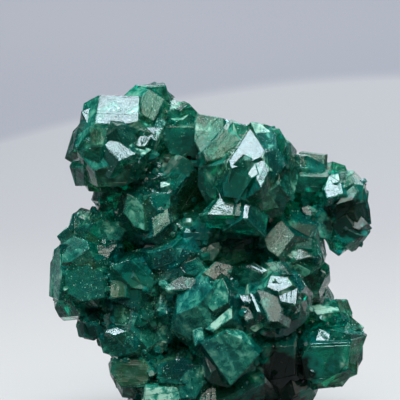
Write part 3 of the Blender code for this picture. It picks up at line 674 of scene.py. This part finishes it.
def near_places(tree, place, places, core):
    """A value that is high near any of the places and highest in their core, a share of the radius."""
    highest = 0.0
    for across, up, back, radius, strength in places:
        away = add(tree, VECTORS, (place, in_place(across, up, back)), operation="DISTANCE")
        near = add(tree, RANGE, {
            "Value": away.outputs["Value"], "From Min": core * radius * MM, "From Max": radius * MM,
            "To Min": strength, "To Max": 0.0,
        })
        highest = add(tree, MATHS, (near, highest), operation="MAXIMUM")
    return highest


def ragged_place(tree, place):
    """The place as it is shifted by a noise, which gives what is round on it a ragged outline."""
    noise = add(tree, NOISE, {"Vector": place, "Scale": 1 / RAGS_APART, "Detail": 2.0, "Roughness": 0.6})
    shift = (2 * RAGGED, 2 * RAGGED, 2 * RAGGED)
    shifted = add(tree, VECTORS, (noise.outputs["Color"], shift, place), operation="MULTIPLY_ADD")
    return add(tree, VECTORS, (shifted, (-RAGGED, -RAGGED, -RAGGED)), operation="ADD")


def relief(tree, place, growth, lined, pitted, grainy):
    """How the surface leans: the marks that growth and wear leave on the faces."""
    # Growth lines: long along the face's longest edge, a seventh of a millimetre apart.
    drawn_out = add(tree, VECTORS, (growth, LINES), operation="MULTIPLY")
    lines = add(tree, NOISE, {"Vector": drawn_out, "Scale": 1.0, "Detail": 3.0, "Roughness": 0.6})
    # Broad low steps where one layer of growth ends on the next.
    steps = add(tree, CELLS, {
        "Vector": growth, "Scale": STEPS, "Randomness": 1.0,
    }, feature="F1", distance="CHEBYCHEV").outputs["Distance"]
    stepped = add(tree, MATHS, (steps, 0.22), operation="SNAP")
    # Pits of a twentieth of a millimetre, and ripples of half a millimetre.
    pits = add(tree, NOISE, {"Vector": place, "Scale": 1 / PITS_APART, "Detail": 2.0, "Roughness": 0.7})
    ripples = add(tree, NOISE, {
        "Vector": place, "Scale": 1 / RIPPLES_APART, "Detail": 3.0, "Roughness": 0.55,
    })
    # A face is a mosaic of blocks, and a grainy face of small ones, that lean a little each.
    mosaic = leaning_cells(tree, add(tree, VECTORS, (growth, BLOCKS), operation="MULTIPLY"), 1.0)
    grains = leaning_cells(tree, place, 1 / GRAINS_APART)
    marks = (
        (lines, add(tree, MATHS, (lined, LINE_DEPTH), operation="MULTIPLY")),
        (mosaic, BLOCK_DEPTH),
        (grains, add(tree, MATHS, (grainy, GRAIN_SLOPE, LEAST_SLOPE), operation="MULTIPLY_ADD")),
        (stepped, STEP_DEPTH),
        (pits, add(tree, MATHS, (pitted, PIT_DEPTH, LEAST_PIT), operation="MULTIPLY_ADD")),
        (ripples, RIPPLE_DEPTH),
    )
    height = 0.0
    for pattern, depth in marks:
        height = add(tree, MATHS, (pattern, depth, height), operation="MULTIPLY_ADD")
    return add(tree, "ShaderNodeBump", {"Strength": 1.0, "Distance": 1.0, "Height": height})


def clouds(tree, place, ragged, wisps, cloudy):
    """How dense the fine cracks are: on the cloudy faces, at the named places and in stray patches."""
    patches = add(tree, NOISE, {
        "Vector": place, "Scale": 1 / PATCHES_APART, "Detail": 1.0, "Roughness": 0.5,
    })
    stray = add(tree, MATHS, (patches, *STRAY), operation="MULTIPLY_ADD", use_clamp=True)
    on_face = add(tree, MATHS, (cloudy, 0.9), operation="MULTIPLY")
    cloud = add(tree, MATHS, (on_face, stray), operation="MAXIMUM")
    named = near_places(tree, ragged, CLOUDS, core=0.35)
    cloud = add(tree, MATHS, (cloud, named), operation="MAXIMUM")
    torn = add(tree, MATHS, (wisps, *TORN), operation="MULTIPLY_ADD")
    return add(tree, MATHS, (cloud, torn), operation="MULTIPLY", use_clamp=True)


def flecks(tree, place, growth, grainy, speckled):
    """Flecks a tenth of a millimetre wide, and pale threads along the growth.

    They are sown in patches, thicker on grainy faces, and all over the places that glitter.
    """
    cells = add(tree, CELLS, {"Vector": place, "Scale": 1 / FLECKS_APART, "Randomness": 1.0})
    fleck = add(tree, RANGE, {
        "Value": cells.outputs["Distance"], "From Min": 0.16, "From Max": 0.38,
        "To Min": 1.5, "To Max": 0.0,
    })
    lot = add(tree, "ShaderNodeSeparateColor", {"Color": cells.outputs["Color"]})
    picked = add(tree, MATHS, (lot, *PICKED), operation="MULTIPLY_ADD", use_clamp=True)
    fleck = add(tree, MATHS, (fleck, picked), operation="MULTIPLY")
    threads = add(tree, NOISE, {
        "Vector": add(tree, VECTORS, (growth, THREADS), operation="MULTIPLY"),
        "Scale": 1.0, "Detail": 2.0, "Roughness": 0.6, "Distortion": 0.4,
    })
    threads = add(tree, MATHS, (threads, *THREADED), operation="MULTIPLY_ADD", use_clamp=True)
    threads = add(tree, MATHS, (threads, 0.7), operation="MULTIPLY")
    marks = add(tree, MATHS, (fleck, threads), operation="MAXIMUM")
    sown = add(tree, NOISE, {"Vector": place, "Scale": 1 / SOWN_APART, "Detail": 3.0, "Roughness": 0.65})
    steep, less = SOWN
    on_face = add(tree, MATHS, (grainy, less), operation="ADD")
    sown = add(tree, MATHS, (sown, steep, on_face), operation="MULTIPLY_ADD", use_clamp=True)
    sown = add(tree, MATHS, (sown, speckled), operation="MAXIMUM")
    return add(tree, MATHS, (sown, marks), operation="MULTIPLY")


def mottles(tree, wisps, speckled, cut, strength):
    """Mottling of the places that glitter, cut out of the wisps."""
    spots = add(tree, MATHS, (wisps, *cut), operation="MULTIPLY_ADD", use_clamp=True)
    there = add(tree, MATHS, (speckled, strength), operation="MULTIPLY")
    return add(tree, MATHS, (spots, there), operation="MULTIPLY")


def dioptase(looks):
    """Clear emerald green dioptase.

    The depth of the crystal gives the dark green, its thin edges the bright green. Growth lines and
    pits break up what the faces mirror, so that a face that catches the light looks brushed or
    speckled. Clouds of fine cracks shine light green.
    """
    material = bpy.data.materials.new("Dioptase crystal")
    material.use_nodes = True
    tree = material.node_tree
    tree.nodes.clear()
    place = add(tree, "ShaderNodeTexCoord").outputs["Object"]
    growth = add(tree, "ShaderNodeUVMap", uv_map="growth")
    finish = add(tree, "ShaderNodeAttribute", attribute_name="finish")
    parts = add(tree, "ShaderNodeSeparateColor", {"Color": finish.outputs["Color"]})
    tone, lined, pitted = parts.outputs[:3]
    cloudy = finish.outputs["Alpha"]
    grainy = add(tree, MATHS, (pitted, 4.0), operation="POWER")
    wisps = add(tree, NOISE, {
        "Vector": place, "Scale": 1 / WISPS_APART, "Detail": 5.0, "Roughness": 0.62, "Distortion": 0.5,
    })
    ragged = ragged_place(tree, place)
    speckled = near_places(tree, ragged, SPECKLED, core=0.6)
    bump = relief(tree, place, growth, lined, pitted, grainy)

    # Tone: from blue green to olive by face, and drifting slowly through the whole.
    drift = add(tree, NOISE, {"Vector": place, "Scale": 1 / DRIFTS_APART, "Detail": 2.0, "Roughness": 0.5})
    drift = add(tree, MATHS, (drift, *DRIFTING), operation="MULTIPLY_ADD")
    tone = add(tree, MATHS, (tone, 0.7, drift), operation="MULTIPLY_ADD")
    greener = add(tree, MATHS, (tone, 2.0), operation="MULTIPLY")
    warmer = add(tree, MATHS, (tone, 2.0, -1.0), operation="MULTIPLY_ADD", use_clamp=True)

    cloud = clouds(tree, place, ragged, wisps, cloudy)
    pale_marks = flecks(tree, place, growth, grainy, speckled)
    cloud = add(tree, MATHS, (cloud, pale_marks), operation="MAXIMUM")
    light = mottles(tree, wisps, speckled, LIGHT_MOTTLES, 0.8)
    cloud = add(tree, MATHS, (cloud, light), operation="MAXIMUM")
    dense = add(tree, MATHS, (cloud, 3.0), operation="POWER")

    # Dark: the crystal's own dark faces and mottles, and painted shade where faces and places lie in gaps
    # and under the heads.
    dark_and_shaded_face = add(tree, MATHS, (cloudy, -1.0), operation="MULTIPLY")
    dark = add(tree, MATHS, (near_places(tree, ragged, DARK_AND_SHADED_PLACES, core=0.6), dark_and_shaded_face),
               operation="MAXIMUM")
    dark = add(tree, MATHS, (dark, mottles(tree, wisps, speckled, DARK_MOTTLES, 0.85)),
               operation="MAXIMUM")

    colour = layered(tree, looks.blue_green, (
        (greener, looks.body), (warmer, looks.olive), (cloud, looks.cloud), (dense, looks.frost),
        (dark, looks.dark),
    ))
    rough = add(tree, MATHS, (pitted, 0.1, 0.025), operation="MULTIPLY_ADD")
    rough = add(tree, MATHS, (cloud, 0.2, rough), operation="MULTIPLY_ADD")
    # Little light enters the clouds, and none the dark places, which are partly crowded flaws and partly
    # painted shade.
    clear = add(tree, MATHS, (cloud, -0.75 * looks.clearness, looks.clearness), operation="MULTIPLY_ADD")
    open_to_light = add(tree, MATHS, (dark, -1.0, 1.0), operation="MULTIPLY_ADD")
    clear = add(tree, MATHS, (clear, open_to_light), operation="MULTIPLY")
    shader = add(tree, "ShaderNodeBsdfPrincipled", {
        "Base Color": colour, "Roughness": rough, "IOR": 1.66, "Normal": bump,
        "Transmission Weight": clear,
    })
    depth = add(tree, "ShaderNodeVolumeAbsorption", {
        "Color": opaque(looks.takes_up), "Density": looks.density,
    })
    add(tree, "ShaderNodeOutputMaterial", {"Surface": shader, "Volume": depth})
    return material


def make_piece(name, mesh, material):
    """A finished piece: a plain mesh at the origin that rides on the body."""
    mesh.materials.clear()
    mesh.materials.append(material)
    mesh.shade_flat()
    piece = bpy.data.objects.new(name, mesh)
    bpy.context.scene.collection.objects.link(piece)
    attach(piece, "root")
    return piece


class DIOPTASE_OT_crystals(bpy.types.Operator):
    """Builds the large crystals on the solid's own faces"""

    bl_idname = "dioptase.crystals"
    bl_label = "Large crystals"

    def execute(self, context):
        looks = context.scene.dioptase_crystal
        rng = random.Random(11)
        bm = solid_copy()
        layer = bm.faces.layers.int.new("face number")
        count = number_faces(bm, layer)
        finishes = finish_of(count, bm, layer, rng)
        bmesh.ops.dissolve_limit(
            bm, angle_limit=FLAT, verts=bm.verts, edges=bm.edges, delimit={"NORMAL"}
        )
        lay_terraces(bm, rng)
        pale = bm.faces.layers.float.new("pale rim")
        wear_rims(bm, looks.rim, pale, rng)
        for vert in bm.verts:
            vert.co.z = max(vert.co.z, 0)
        lay_out(bm, layer, pale, finishes)
        bmesh.ops.triangulate(bm, faces=bm.faces)
        mesh = bpy.data.meshes.new("crystals")
        bm.to_mesh(mesh)
        bm.free()
        piece = make_piece("crystals", mesh, dioptase(looks))
        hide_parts(NODE)
        return {"FINISHED"}


def crystal_form(slenderness, rng):
    """A small crystal of half width 1 on its end, as a bmesh: six prism and six end faces."""
    bm = bmesh.new()
    bmesh.ops.create_cube(bm, size=8)
    for side in range(6):
        angle = math.radians(60 * side)
        end = 1 if side % 2 == 0 else -1
        level = Vector((math.cos(angle), math.sin(angle), 0))
        sloping = level * math.sin(END_FACE_TILT) + Vector((0, 0, end * math.cos(END_FACE_TILT)))
        reach = slenderness * math.cos(END_FACE_TILT)
        prism = Vector((math.cos(angle + math.pi / 6), math.sin(angle + math.pi / 6), 0))
        for normal, far in ((sloping, reach), (prism, 1)):
            cut = bmesh.ops.bisect_plane(
                bm, geom=bm.verts[:] + bm.edges[:] + bm.faces[:], dist=1e-5, clear_outer=True,
                plane_co=normal * far * rng.uniform(1 - UNEVEN, 1 + UNEVEN), plane_no=normal,
            )
            rim = [made for made in cut["geom_cut"] if isinstance(made, bmesh.types.BMEdge)]
            bmesh.ops.edgeloop_fill(bm, edges=rim)
    bmesh.ops.recalc_face_normals(bm, faces=bm.faces)
    return bm


def hollows(bm, rng):
    """How closed in each corner is, from 0 in the open to 1: rays that strike the specimen again."""
    tree = BVHTree.FromBMesh(bm)
    shut = []
    for vert in bm.verts:
        struck = 0
        for _ in range(RAYS):
            way = Vector((rng.gauss(0, 1), rng.gauss(0, 1), rng.gauss(0, 1))).normalized()
            if way.dot(vert.normal) < 0:
                way = -way
            hit = tree.ray_cast(vert.co + vert.normal * OFF_SKIN, way, REACH)
            struck += hit[0] is not None
        shut.append(struck / RAYS)
    return shut


def scatter_tree():
    """Small crystals scattered over a mesh, denser where its hollow attribute is high."""
    tree = bpy.data.node_groups.new("Small crystals", "GeometryNodeTree")
    sockets = (
        ("Geometry", "INPUT", "NodeSocketGeometry"),
        ("Density", "INPUT", "NodeSocketFloat"),
        ("Least", "INPUT", "NodeSocketFloat"),
        ("Most", "INPUT", "NodeSocketFloat"),
        ("Lean", "INPUT", "NodeSocketFloat"),
        ("Palest", "INPUT", "NodeSocketFloat"),
        ("Seed", "INPUT", "NodeSocketInt"),
        ("Forms", "INPUT", "NodeSocketCollection"),
        ("Material", "INPUT", "NodeSocketMaterial"),
        ("Geometry", "OUTPUT", "NodeSocketGeometry"),
    )
    for name, way, kind in sockets:
        tree.interface.new_socket(name=name, in_out=way, socket_type=kind)
    given = add(tree, "NodeGroupInput").outputs
    hollow = add(tree, "GeometryNodeInputNamedAttribute", {"Name": "hollow"}, data_type="FLOAT")
    dense = add(tree, MATHS, (hollow.outputs["Attribute"], given["Density"]), operation="MULTIPLY")
    points = add(tree, "GeometryNodeDistributePointsOnFaces", {
        "Mesh": given["Geometry"], "Density": dense, "Seed": given["Seed"],
    }, distribute_method="RANDOM")
    # Each leans its own way and is spun about its own axis.
    turn = add(tree, "FunctionNodeRandomValue", {
        "Min": (0, 0, -3.1416), "Max": (0, 0, 3.1416), "Seed": given["Seed"],
    }, data_type="FLOAT_VECTOR")
    leaning = add(tree, "FunctionNodeRandomValue", {
        "Seed": add(tree, MATHS, (given["Seed"], 1), operation="ADD"),
    }, data_type="FLOAT_VECTOR")
    lean = add(tree, VECTORS, (leaning, (-0.5, -0.5, 0)), operation="ADD")
    lean = add(tree, VECTORS, {0: lean, "Scale": given["Lean"]}, operation="SCALE")
    stood = add(tree, "FunctionNodeRotateRotation", {
        "Rotation": points.outputs["Rotation"], "Rotate By": lean,
    }, rotation_space="LOCAL")
    spun = add(tree, "FunctionNodeRotateRotation", {
        "Rotation": stood, "Rotate By": turn,
    }, rotation_space="LOCAL")
    # Most are small.
    chance = add(tree, "FunctionNodeRandomValue", {
        "Seed": add(tree, MATHS, (given["Seed"], 2), operation="ADD"),
    }, data_type="FLOAT")
    small = add(tree, MATHS, (chance.outputs[1], 3.0), operation="POWER")
    width = add(tree, MIX, {
        "Factor": small, FIRST_NUMBER: given["Least"], SECOND_NUMBER: given["Most"],
    }, data_type="FLOAT")
    picked = add(tree, "GeometryNodeCollectionInfo", {
        "Collection": given["Forms"], "Separate Children": True, "Reset Children": True,
    })
    placed = add(tree, "GeometryNodeInstanceOnPoints", {
        "Points": points.outputs["Points"], "Instance": picked, "Pick Instance": True,
        "Rotation": spun, "Scale": width,
    })
    # Each has its own tone, lines and cloud, from dark to the palest.
    tint = add(tree, "FunctionNodeRandomValue", {
        "Min": (0.0, 0.0, 0.0), "Max": (0.8, 0.7, 1.0),
        "Seed": add(tree, MATHS, (given["Seed"], 3), operation="ADD"),
    }, data_type="FLOAT_VECTOR")
    tone, lined, lot = add(tree, "ShaderNodeSeparateXYZ", {"Vector": tint}).outputs[:3]
    span = add(tree, MATHS, (given["Palest"], -DARKEST), operation="ADD")
    cloudy = add(tree, MATHS, (lot, span, DARKEST), operation="MULTIPLY_ADD")
    finish = add(tree, "FunctionNodeCombineColor", {
        "Red": tone, "Green": lined, "Blue": 0.2, "Alpha": cloudy,
    })
    stored = add(tree, "GeometryNodeStoreNamedAttribute", {
        "Geometry": placed, "Name": "finish", "Value": finish,
    }, data_type="FLOAT_COLOR", domain="INSTANCE")
    real = add(tree, "GeometryNodeRealizeInstances", {"Geometry": stored})
    dressed = add(tree, "GeometryNodeSetMaterial", {"Geometry": real, "Material": given["Material"]})
    add(tree, "NodeGroupOutput", {"Geometry": dressed})
    return tree


def ground(openness):
    """The solid's skin cut fine, with the density of the scatter as its attribute."""
    bm = solid_copy()
    for _ in range(ROUNDS):
        long_edges = [edge for edge in bm.edges if edge.calc_length() > LONG_EDGE]
        bmesh.ops.subdivide_edges(bm, edges=long_edges, cuts=1)
        bmesh.ops.triangulate(bm, faces=bm.faces)
    layer = bm.verts.layers.float.new("hollow")
    for vert, shut in zip(bm.verts, hollows(bm, random.Random(5))):
        place = vert.co - TABLE_ZERO
        dense = openness + max(0, shut - OPEN) ** CROWDING
        for across, up, radius, times in CROWDED:
            if math.hypot(place.x / MM - across, place.dot(TO_TOP) / MM - up) < radius:
                dense *= times
        vert[layer] = 0 if vert.co.z < BARE_FOOT else dense
    mesh = bpy.data.meshes.new("ground")
    bm.to_mesh(mesh)
    bm.free()
    return mesh


def scatter(name, forms, looks, openness):
    """Scatters these forms, each a bmesh, over the solid's skin and makes a piece of them."""
    material = bpy.data.materials["Dioptase crystal"]
    collection = bpy.data.collections.new("forms")
    for bm in forms:
        growth = bm.loops.layers.uv.new("growth")
        for face in bm.faces:
            for loop in face.loops:
                loop[growth].uv = (loop.vert.co.z, loop.vert.co.x + loop.vert.co.y)
        mesh = bpy.data.meshes.new("form")
        bm.to_mesh(mesh)
        bm.free()
        collection.objects.link(bpy.data.objects.new("form", mesh))
    grown = bpy.data.objects.new("grown", ground(openness))
    bpy.context.scene.collection.objects.link(grown)
    nodes = grown.modifiers.new("Scatter", "NODES")
    nodes.node_group = scatter_tree()
    values = {
        "Density": looks.density, "Least": looks.least, "Most": looks.most, "Lean": LEAN,
        "Palest": looks.palest, "Seed": looks.seed, "Forms": collection, "Material": material,
    }
    for item in nodes.node_group.interface.items_tree:
        if item.in_out == "INPUT" and item.name in values:
            nodes[item.identifier] = values[item.name]
    bpy.context.view_layer.update()
    evaluated = grown.evaluated_get(bpy.context.evaluated_depsgraph_get())
    mesh = bpy.data.meshes.new_from_object(evaluated)
    bpy.data.objects.remove(grown)
    for form in list(collection.objects):
        bpy.data.objects.remove(form)
    make_piece(name, mesh, material)


def speck_form(rng):
    """A flat chip of half width 1 with eight faces, as a bmesh."""
    bm = bmesh.new()
    ring = [bm.verts.new((math.cos(turn) * rng.uniform(0.7, 1.1), math.sin(turn), rng.uniform(-0.1, 0.1)))
            for turn in (0, 1.5, 3.1, 4.7)]
    for height in (0.45, -0.45):
        tip = bm.verts.new((rng.uniform(-0.4, 0.4), rng.uniform(-0.4, 0.4), height))
        for one, other in zip(ring, ring[1:] + ring[:1]):
            bm.faces.new((one, other, tip) if height > 0 else (other, one, tip))
    return bm


class DIOPTASE_OT_small_crystals(bpy.types.Operator):
    """Grows small crystals in the hollows between the large ones"""

    bl_idname = "dioptase.small_crystals"
    bl_label = "Small crystals"

    def execute(self, context):
        rng = random.Random(5)
        forms = [crystal_form(slenderness, rng) for slenderness in (1.25, 1.4, 1.7, 2.2)]
        scatter("small_crystals", forms, context.scene.dioptase_small, openness=0.01)
        return {"FINISHED"}


class DIOPTASE_OT_specks(bpy.types.Operator):
    """Strews glittering specks over the crystals"""

    bl_idname = "dioptase.specks"
    bl_label = "Specks"

    def execute(self, context):
        rng = random.Random(8)
        forms = [speck_form(rng) for _ in range(5)]
        scatter("specks", forms, context.scene.dioptase_specks, openness=0.04)
        return {"FINISHED"}


def soft_light(name, way, size, watts, colour, target):
    """A soft light, so wide and so tall, that faces the target."""
    lamp = bpy.data.lights.new(name, "AREA")
    lamp.shape = "RECTANGLE"
    lamp.size, lamp.size_y = size
    lamp.energy = watts
    lamp.color = colour
    light = bpy.data.objects.new(name, lamp)
    light.location = target + way * LIGHTS_AWAY
    light.rotation_euler = way.to_track_quat("Z", "Y").to_euler()
    light.visible_camera = False
    bpy.context.scene.collection.objects.link(light)


def sweep(half_width, front, bend, radius, steepest):
    """A floor that curves up into a low backdrop from the bend on, as a mesh."""
    bm = bmesh.new()
    profile = [(front, 0.0)]
    for part in range(17):
        angle = steepest * part / 16
        profile.append((bend + radius * math.sin(angle), radius - radius * math.cos(angle)))
    first = [bm.verts.new((-half_width, y, z)) for y, z in profile]
    edges = [bm.edges.new(pair) for pair in zip(first, first[1:])]
    moved = bmesh.ops.extrude_edge_only(bm, edges=edges)
    verts = [made for made in moved["geom"] if isinstance(made, bmesh.types.BMVert)]
    bmesh.ops.translate(bm, verts=verts, vec=(2 * half_width, 0, 0))
    bmesh.ops.recalc_face_normals(bm, faces=bm.faces)
    mesh = bpy.data.meshes.new("floor")
    bm.to_mesh(mesh)
    bm.free()
    mesh.shade_smooth()
    return mesh


def graduated_paper(stage):
    """Backdrop paper: dark in front of the specimen, pale behind it, and grey beyond a pale round; the
    round is painted light and the grey painted shade.
    """
    material = bpy.data.materials.new("Graduated paper")
    material.use_nodes = True
    tree = material.node_tree
    tree.nodes.clear()
    place = add(tree, "ShaderNodeTexCoord").outputs["Object"]
    along = add(tree, "ShaderNodeSeparateXYZ", {"Vector": place}).outputs["Y"]
    in_front = add(tree, RANGE, {
        "Value": along, "From Min": DARK_BEFORE, "From Max": PALE_FROM, "To Min": 1.0, "To Max": 0.0,
    }, interpolation_type="SMOOTHSTEP")
    # The painted round of light ends behind the specimen, with painted shade and faint shaded folds beyond
    # it.
    level = add(tree, VECTORS, (place, (1, 1, 0)), operation="MULTIPLY")
    away = add(tree, VECTORS, (level, LIT_ROUND), operation="DISTANCE")
    beyond = add(tree, RANGE, {
        "Value": away.outputs["Value"],
        "From Min": LIT_RADIUS - SOFT_EDGE, "From Max": LIT_RADIUS + SOFT_EDGE,
    }, interpolation_type="SMOOTHSTEP")
    drawn_out = add(tree, VECTORS, (place, (0.35, 1.0, 2.0)), operation="MULTIPLY")
    folds = add(tree, NOISE, {"Vector": drawn_out, "Scale": 1 / SHADED_FOLDS_APART, "Detail": 0.0})
    folded = add(tree, MATHS, (folds, 0.5), operation="ADD")
    shade = add(tree, MATHS, (beyond, folded), operation="MULTIPLY")
    # Painted shade: the paper greys with distance behind the specimen, as the light falls off.
    fades = add(tree, RANGE, {
        "Value": along, "From Min": FALLOFF_SHADE_FROM, "From Max": FALLOFF_SHADE_TO, "To Min": 0.0, "To Max": FALLOFF_SHADE_DEPTH,
    })
    shade = add(tree, MATHS, (shade, fades), operation="MAXIMUM")
    colour = layered(tree, stage.floor, ((shade, stage.far), (in_front, stage.near)))
    shader = add(tree, "ShaderNodeBsdfPrincipled", {"Base Color": colour, "Roughness": 0.8})
    add(tree, "ShaderNodeOutputMaterial", {"Surface": shader})
    return material


class DIOPTASE_OT_stage(bpy.types.Operator):
    """Sets the pale floor, the soft lights and the camera"""

    bl_idname = "dioptase.stage"
    bl_label = "Stage"

    def execute(self, context):
        stage = context.scene.dioptase_stage
        floor = bpy.data.objects.new("floor", sweep(
            half_width=1.2, front=-0.9, bend=0.2, radius=0.25, steepest=math.radians(40),
        ))
        floor.data.materials.append(graduated_paper(stage))
        context.scene.collection.objects.link(floor)

        across = (MIDDLE_PIXEL[0] - ZERO_PIXEL[0]) * MM_A_PIXEL
        up = (ZERO_PIXEL[1] - MIDDLE_PIXEL[1]) * MM_A_PIXEL
        target = in_place(across, up, 0)
        for name, watts, turn, tilt, size, colour in LIGHTS:
            soft_light(name, facing(turn, tilt), size, getattr(stage, watts), colour, target)
        world = bpy.data.worlds.new("room")
        world.use_nodes = True
        sky = world.node_tree.nodes["Background"]
        sky.inputs["Color"].default_value = opaque(ROOM_COLOUR)
        sky.inputs["Strength"].default_value = stage.room
        context.scene.world = world
        context.scene.view_settings.view_transform = "Standard"

        lens = bpy.data.cameras.new("camera")
        lens.lens = LENS
        lens.sensor_width = SENSOR
        lens.clip_start = 0.01
        camera = bpy.data.objects.new("camera", lens)
        wide = 2 * MIDDLE_PIXEL[0] * MM_A_PIXEL * MM
        camera.location = target + TO_VIEWER * (wide * LENS / SENSOR)
        camera.rotation_euler = TO_VIEWER.to_track_quat("Z", "Y").to_euler()
        context.scene.collection.objects.link(camera)
        context.scene.camera = camera
        return {"FINISHED"}


class DIOPTASE_PT_panel(bpy.types.Panel):
    """The specimen's pieces and stage"""

    bl_label = "Dioptase specimen"
    bl_space_type = "VIEW_3D"
    bl_region_type = "UI"
    bl_category = "Dioptase"

    def draw(self, context):
        for operator, group, names in PANEL:
            box = self.layout.box()
            for name in names:
                box.prop(getattr(context.scene, group), name)
            box.operator(operator)


PANEL = (
    ("dioptase.crystals", "dioptase_crystal", (
        "body", "blue_green", "olive", "cloud", "frost", "dark", "takes_up", "density", "clearness", "rim",
    )),
    ("dioptase.small_crystals", "dioptase_small", ("density", "least", "most", "palest", "seed")),
    ("dioptase.specks", "dioptase_specks", ("density", "least", "most", "palest", "seed")),
    ("dioptase.stage", "dioptase_stage", ("floor", "near", "far", "key", "fill", "side", "behind", "room")),
)
GROUPS = (
    ("dioptase_crystal", CrystalLooks),
    ("dioptase_small", SmallCrystals),
    ("dioptase_specks", Specks),
    ("dioptase_stage", Stage),
)
CLASSES = (
    DIOPTASE_OT_crystals, DIOPTASE_OT_small_crystals, DIOPTASE_OT_specks, DIOPTASE_OT_stage,
    DIOPTASE_PT_panel,
)


def register():
    for name, group in GROUPS:
        bpy.utils.register_class(group)
        setattr(bpy.types.Scene, name, PointerProperty(type=group))
    for kind in CLASSES:
        bpy.utils.register_class(kind)


def unregister():
    for kind in reversed(CLASSES):
        bpy.utils.unregister_class(kind)
    for name, group in reversed(GROUPS):
        delattr(bpy.types.Scene, name)
        bpy.utils.unregister_class(group)


def main():
    register()
    bpy.ops.dioptase.crystals()
    bpy.ops.dioptase.small_crystals()
    bpy.ops.dioptase.specks()
    bpy.ops.dioptase.stage()


if __name__ == "__main__":
    main()
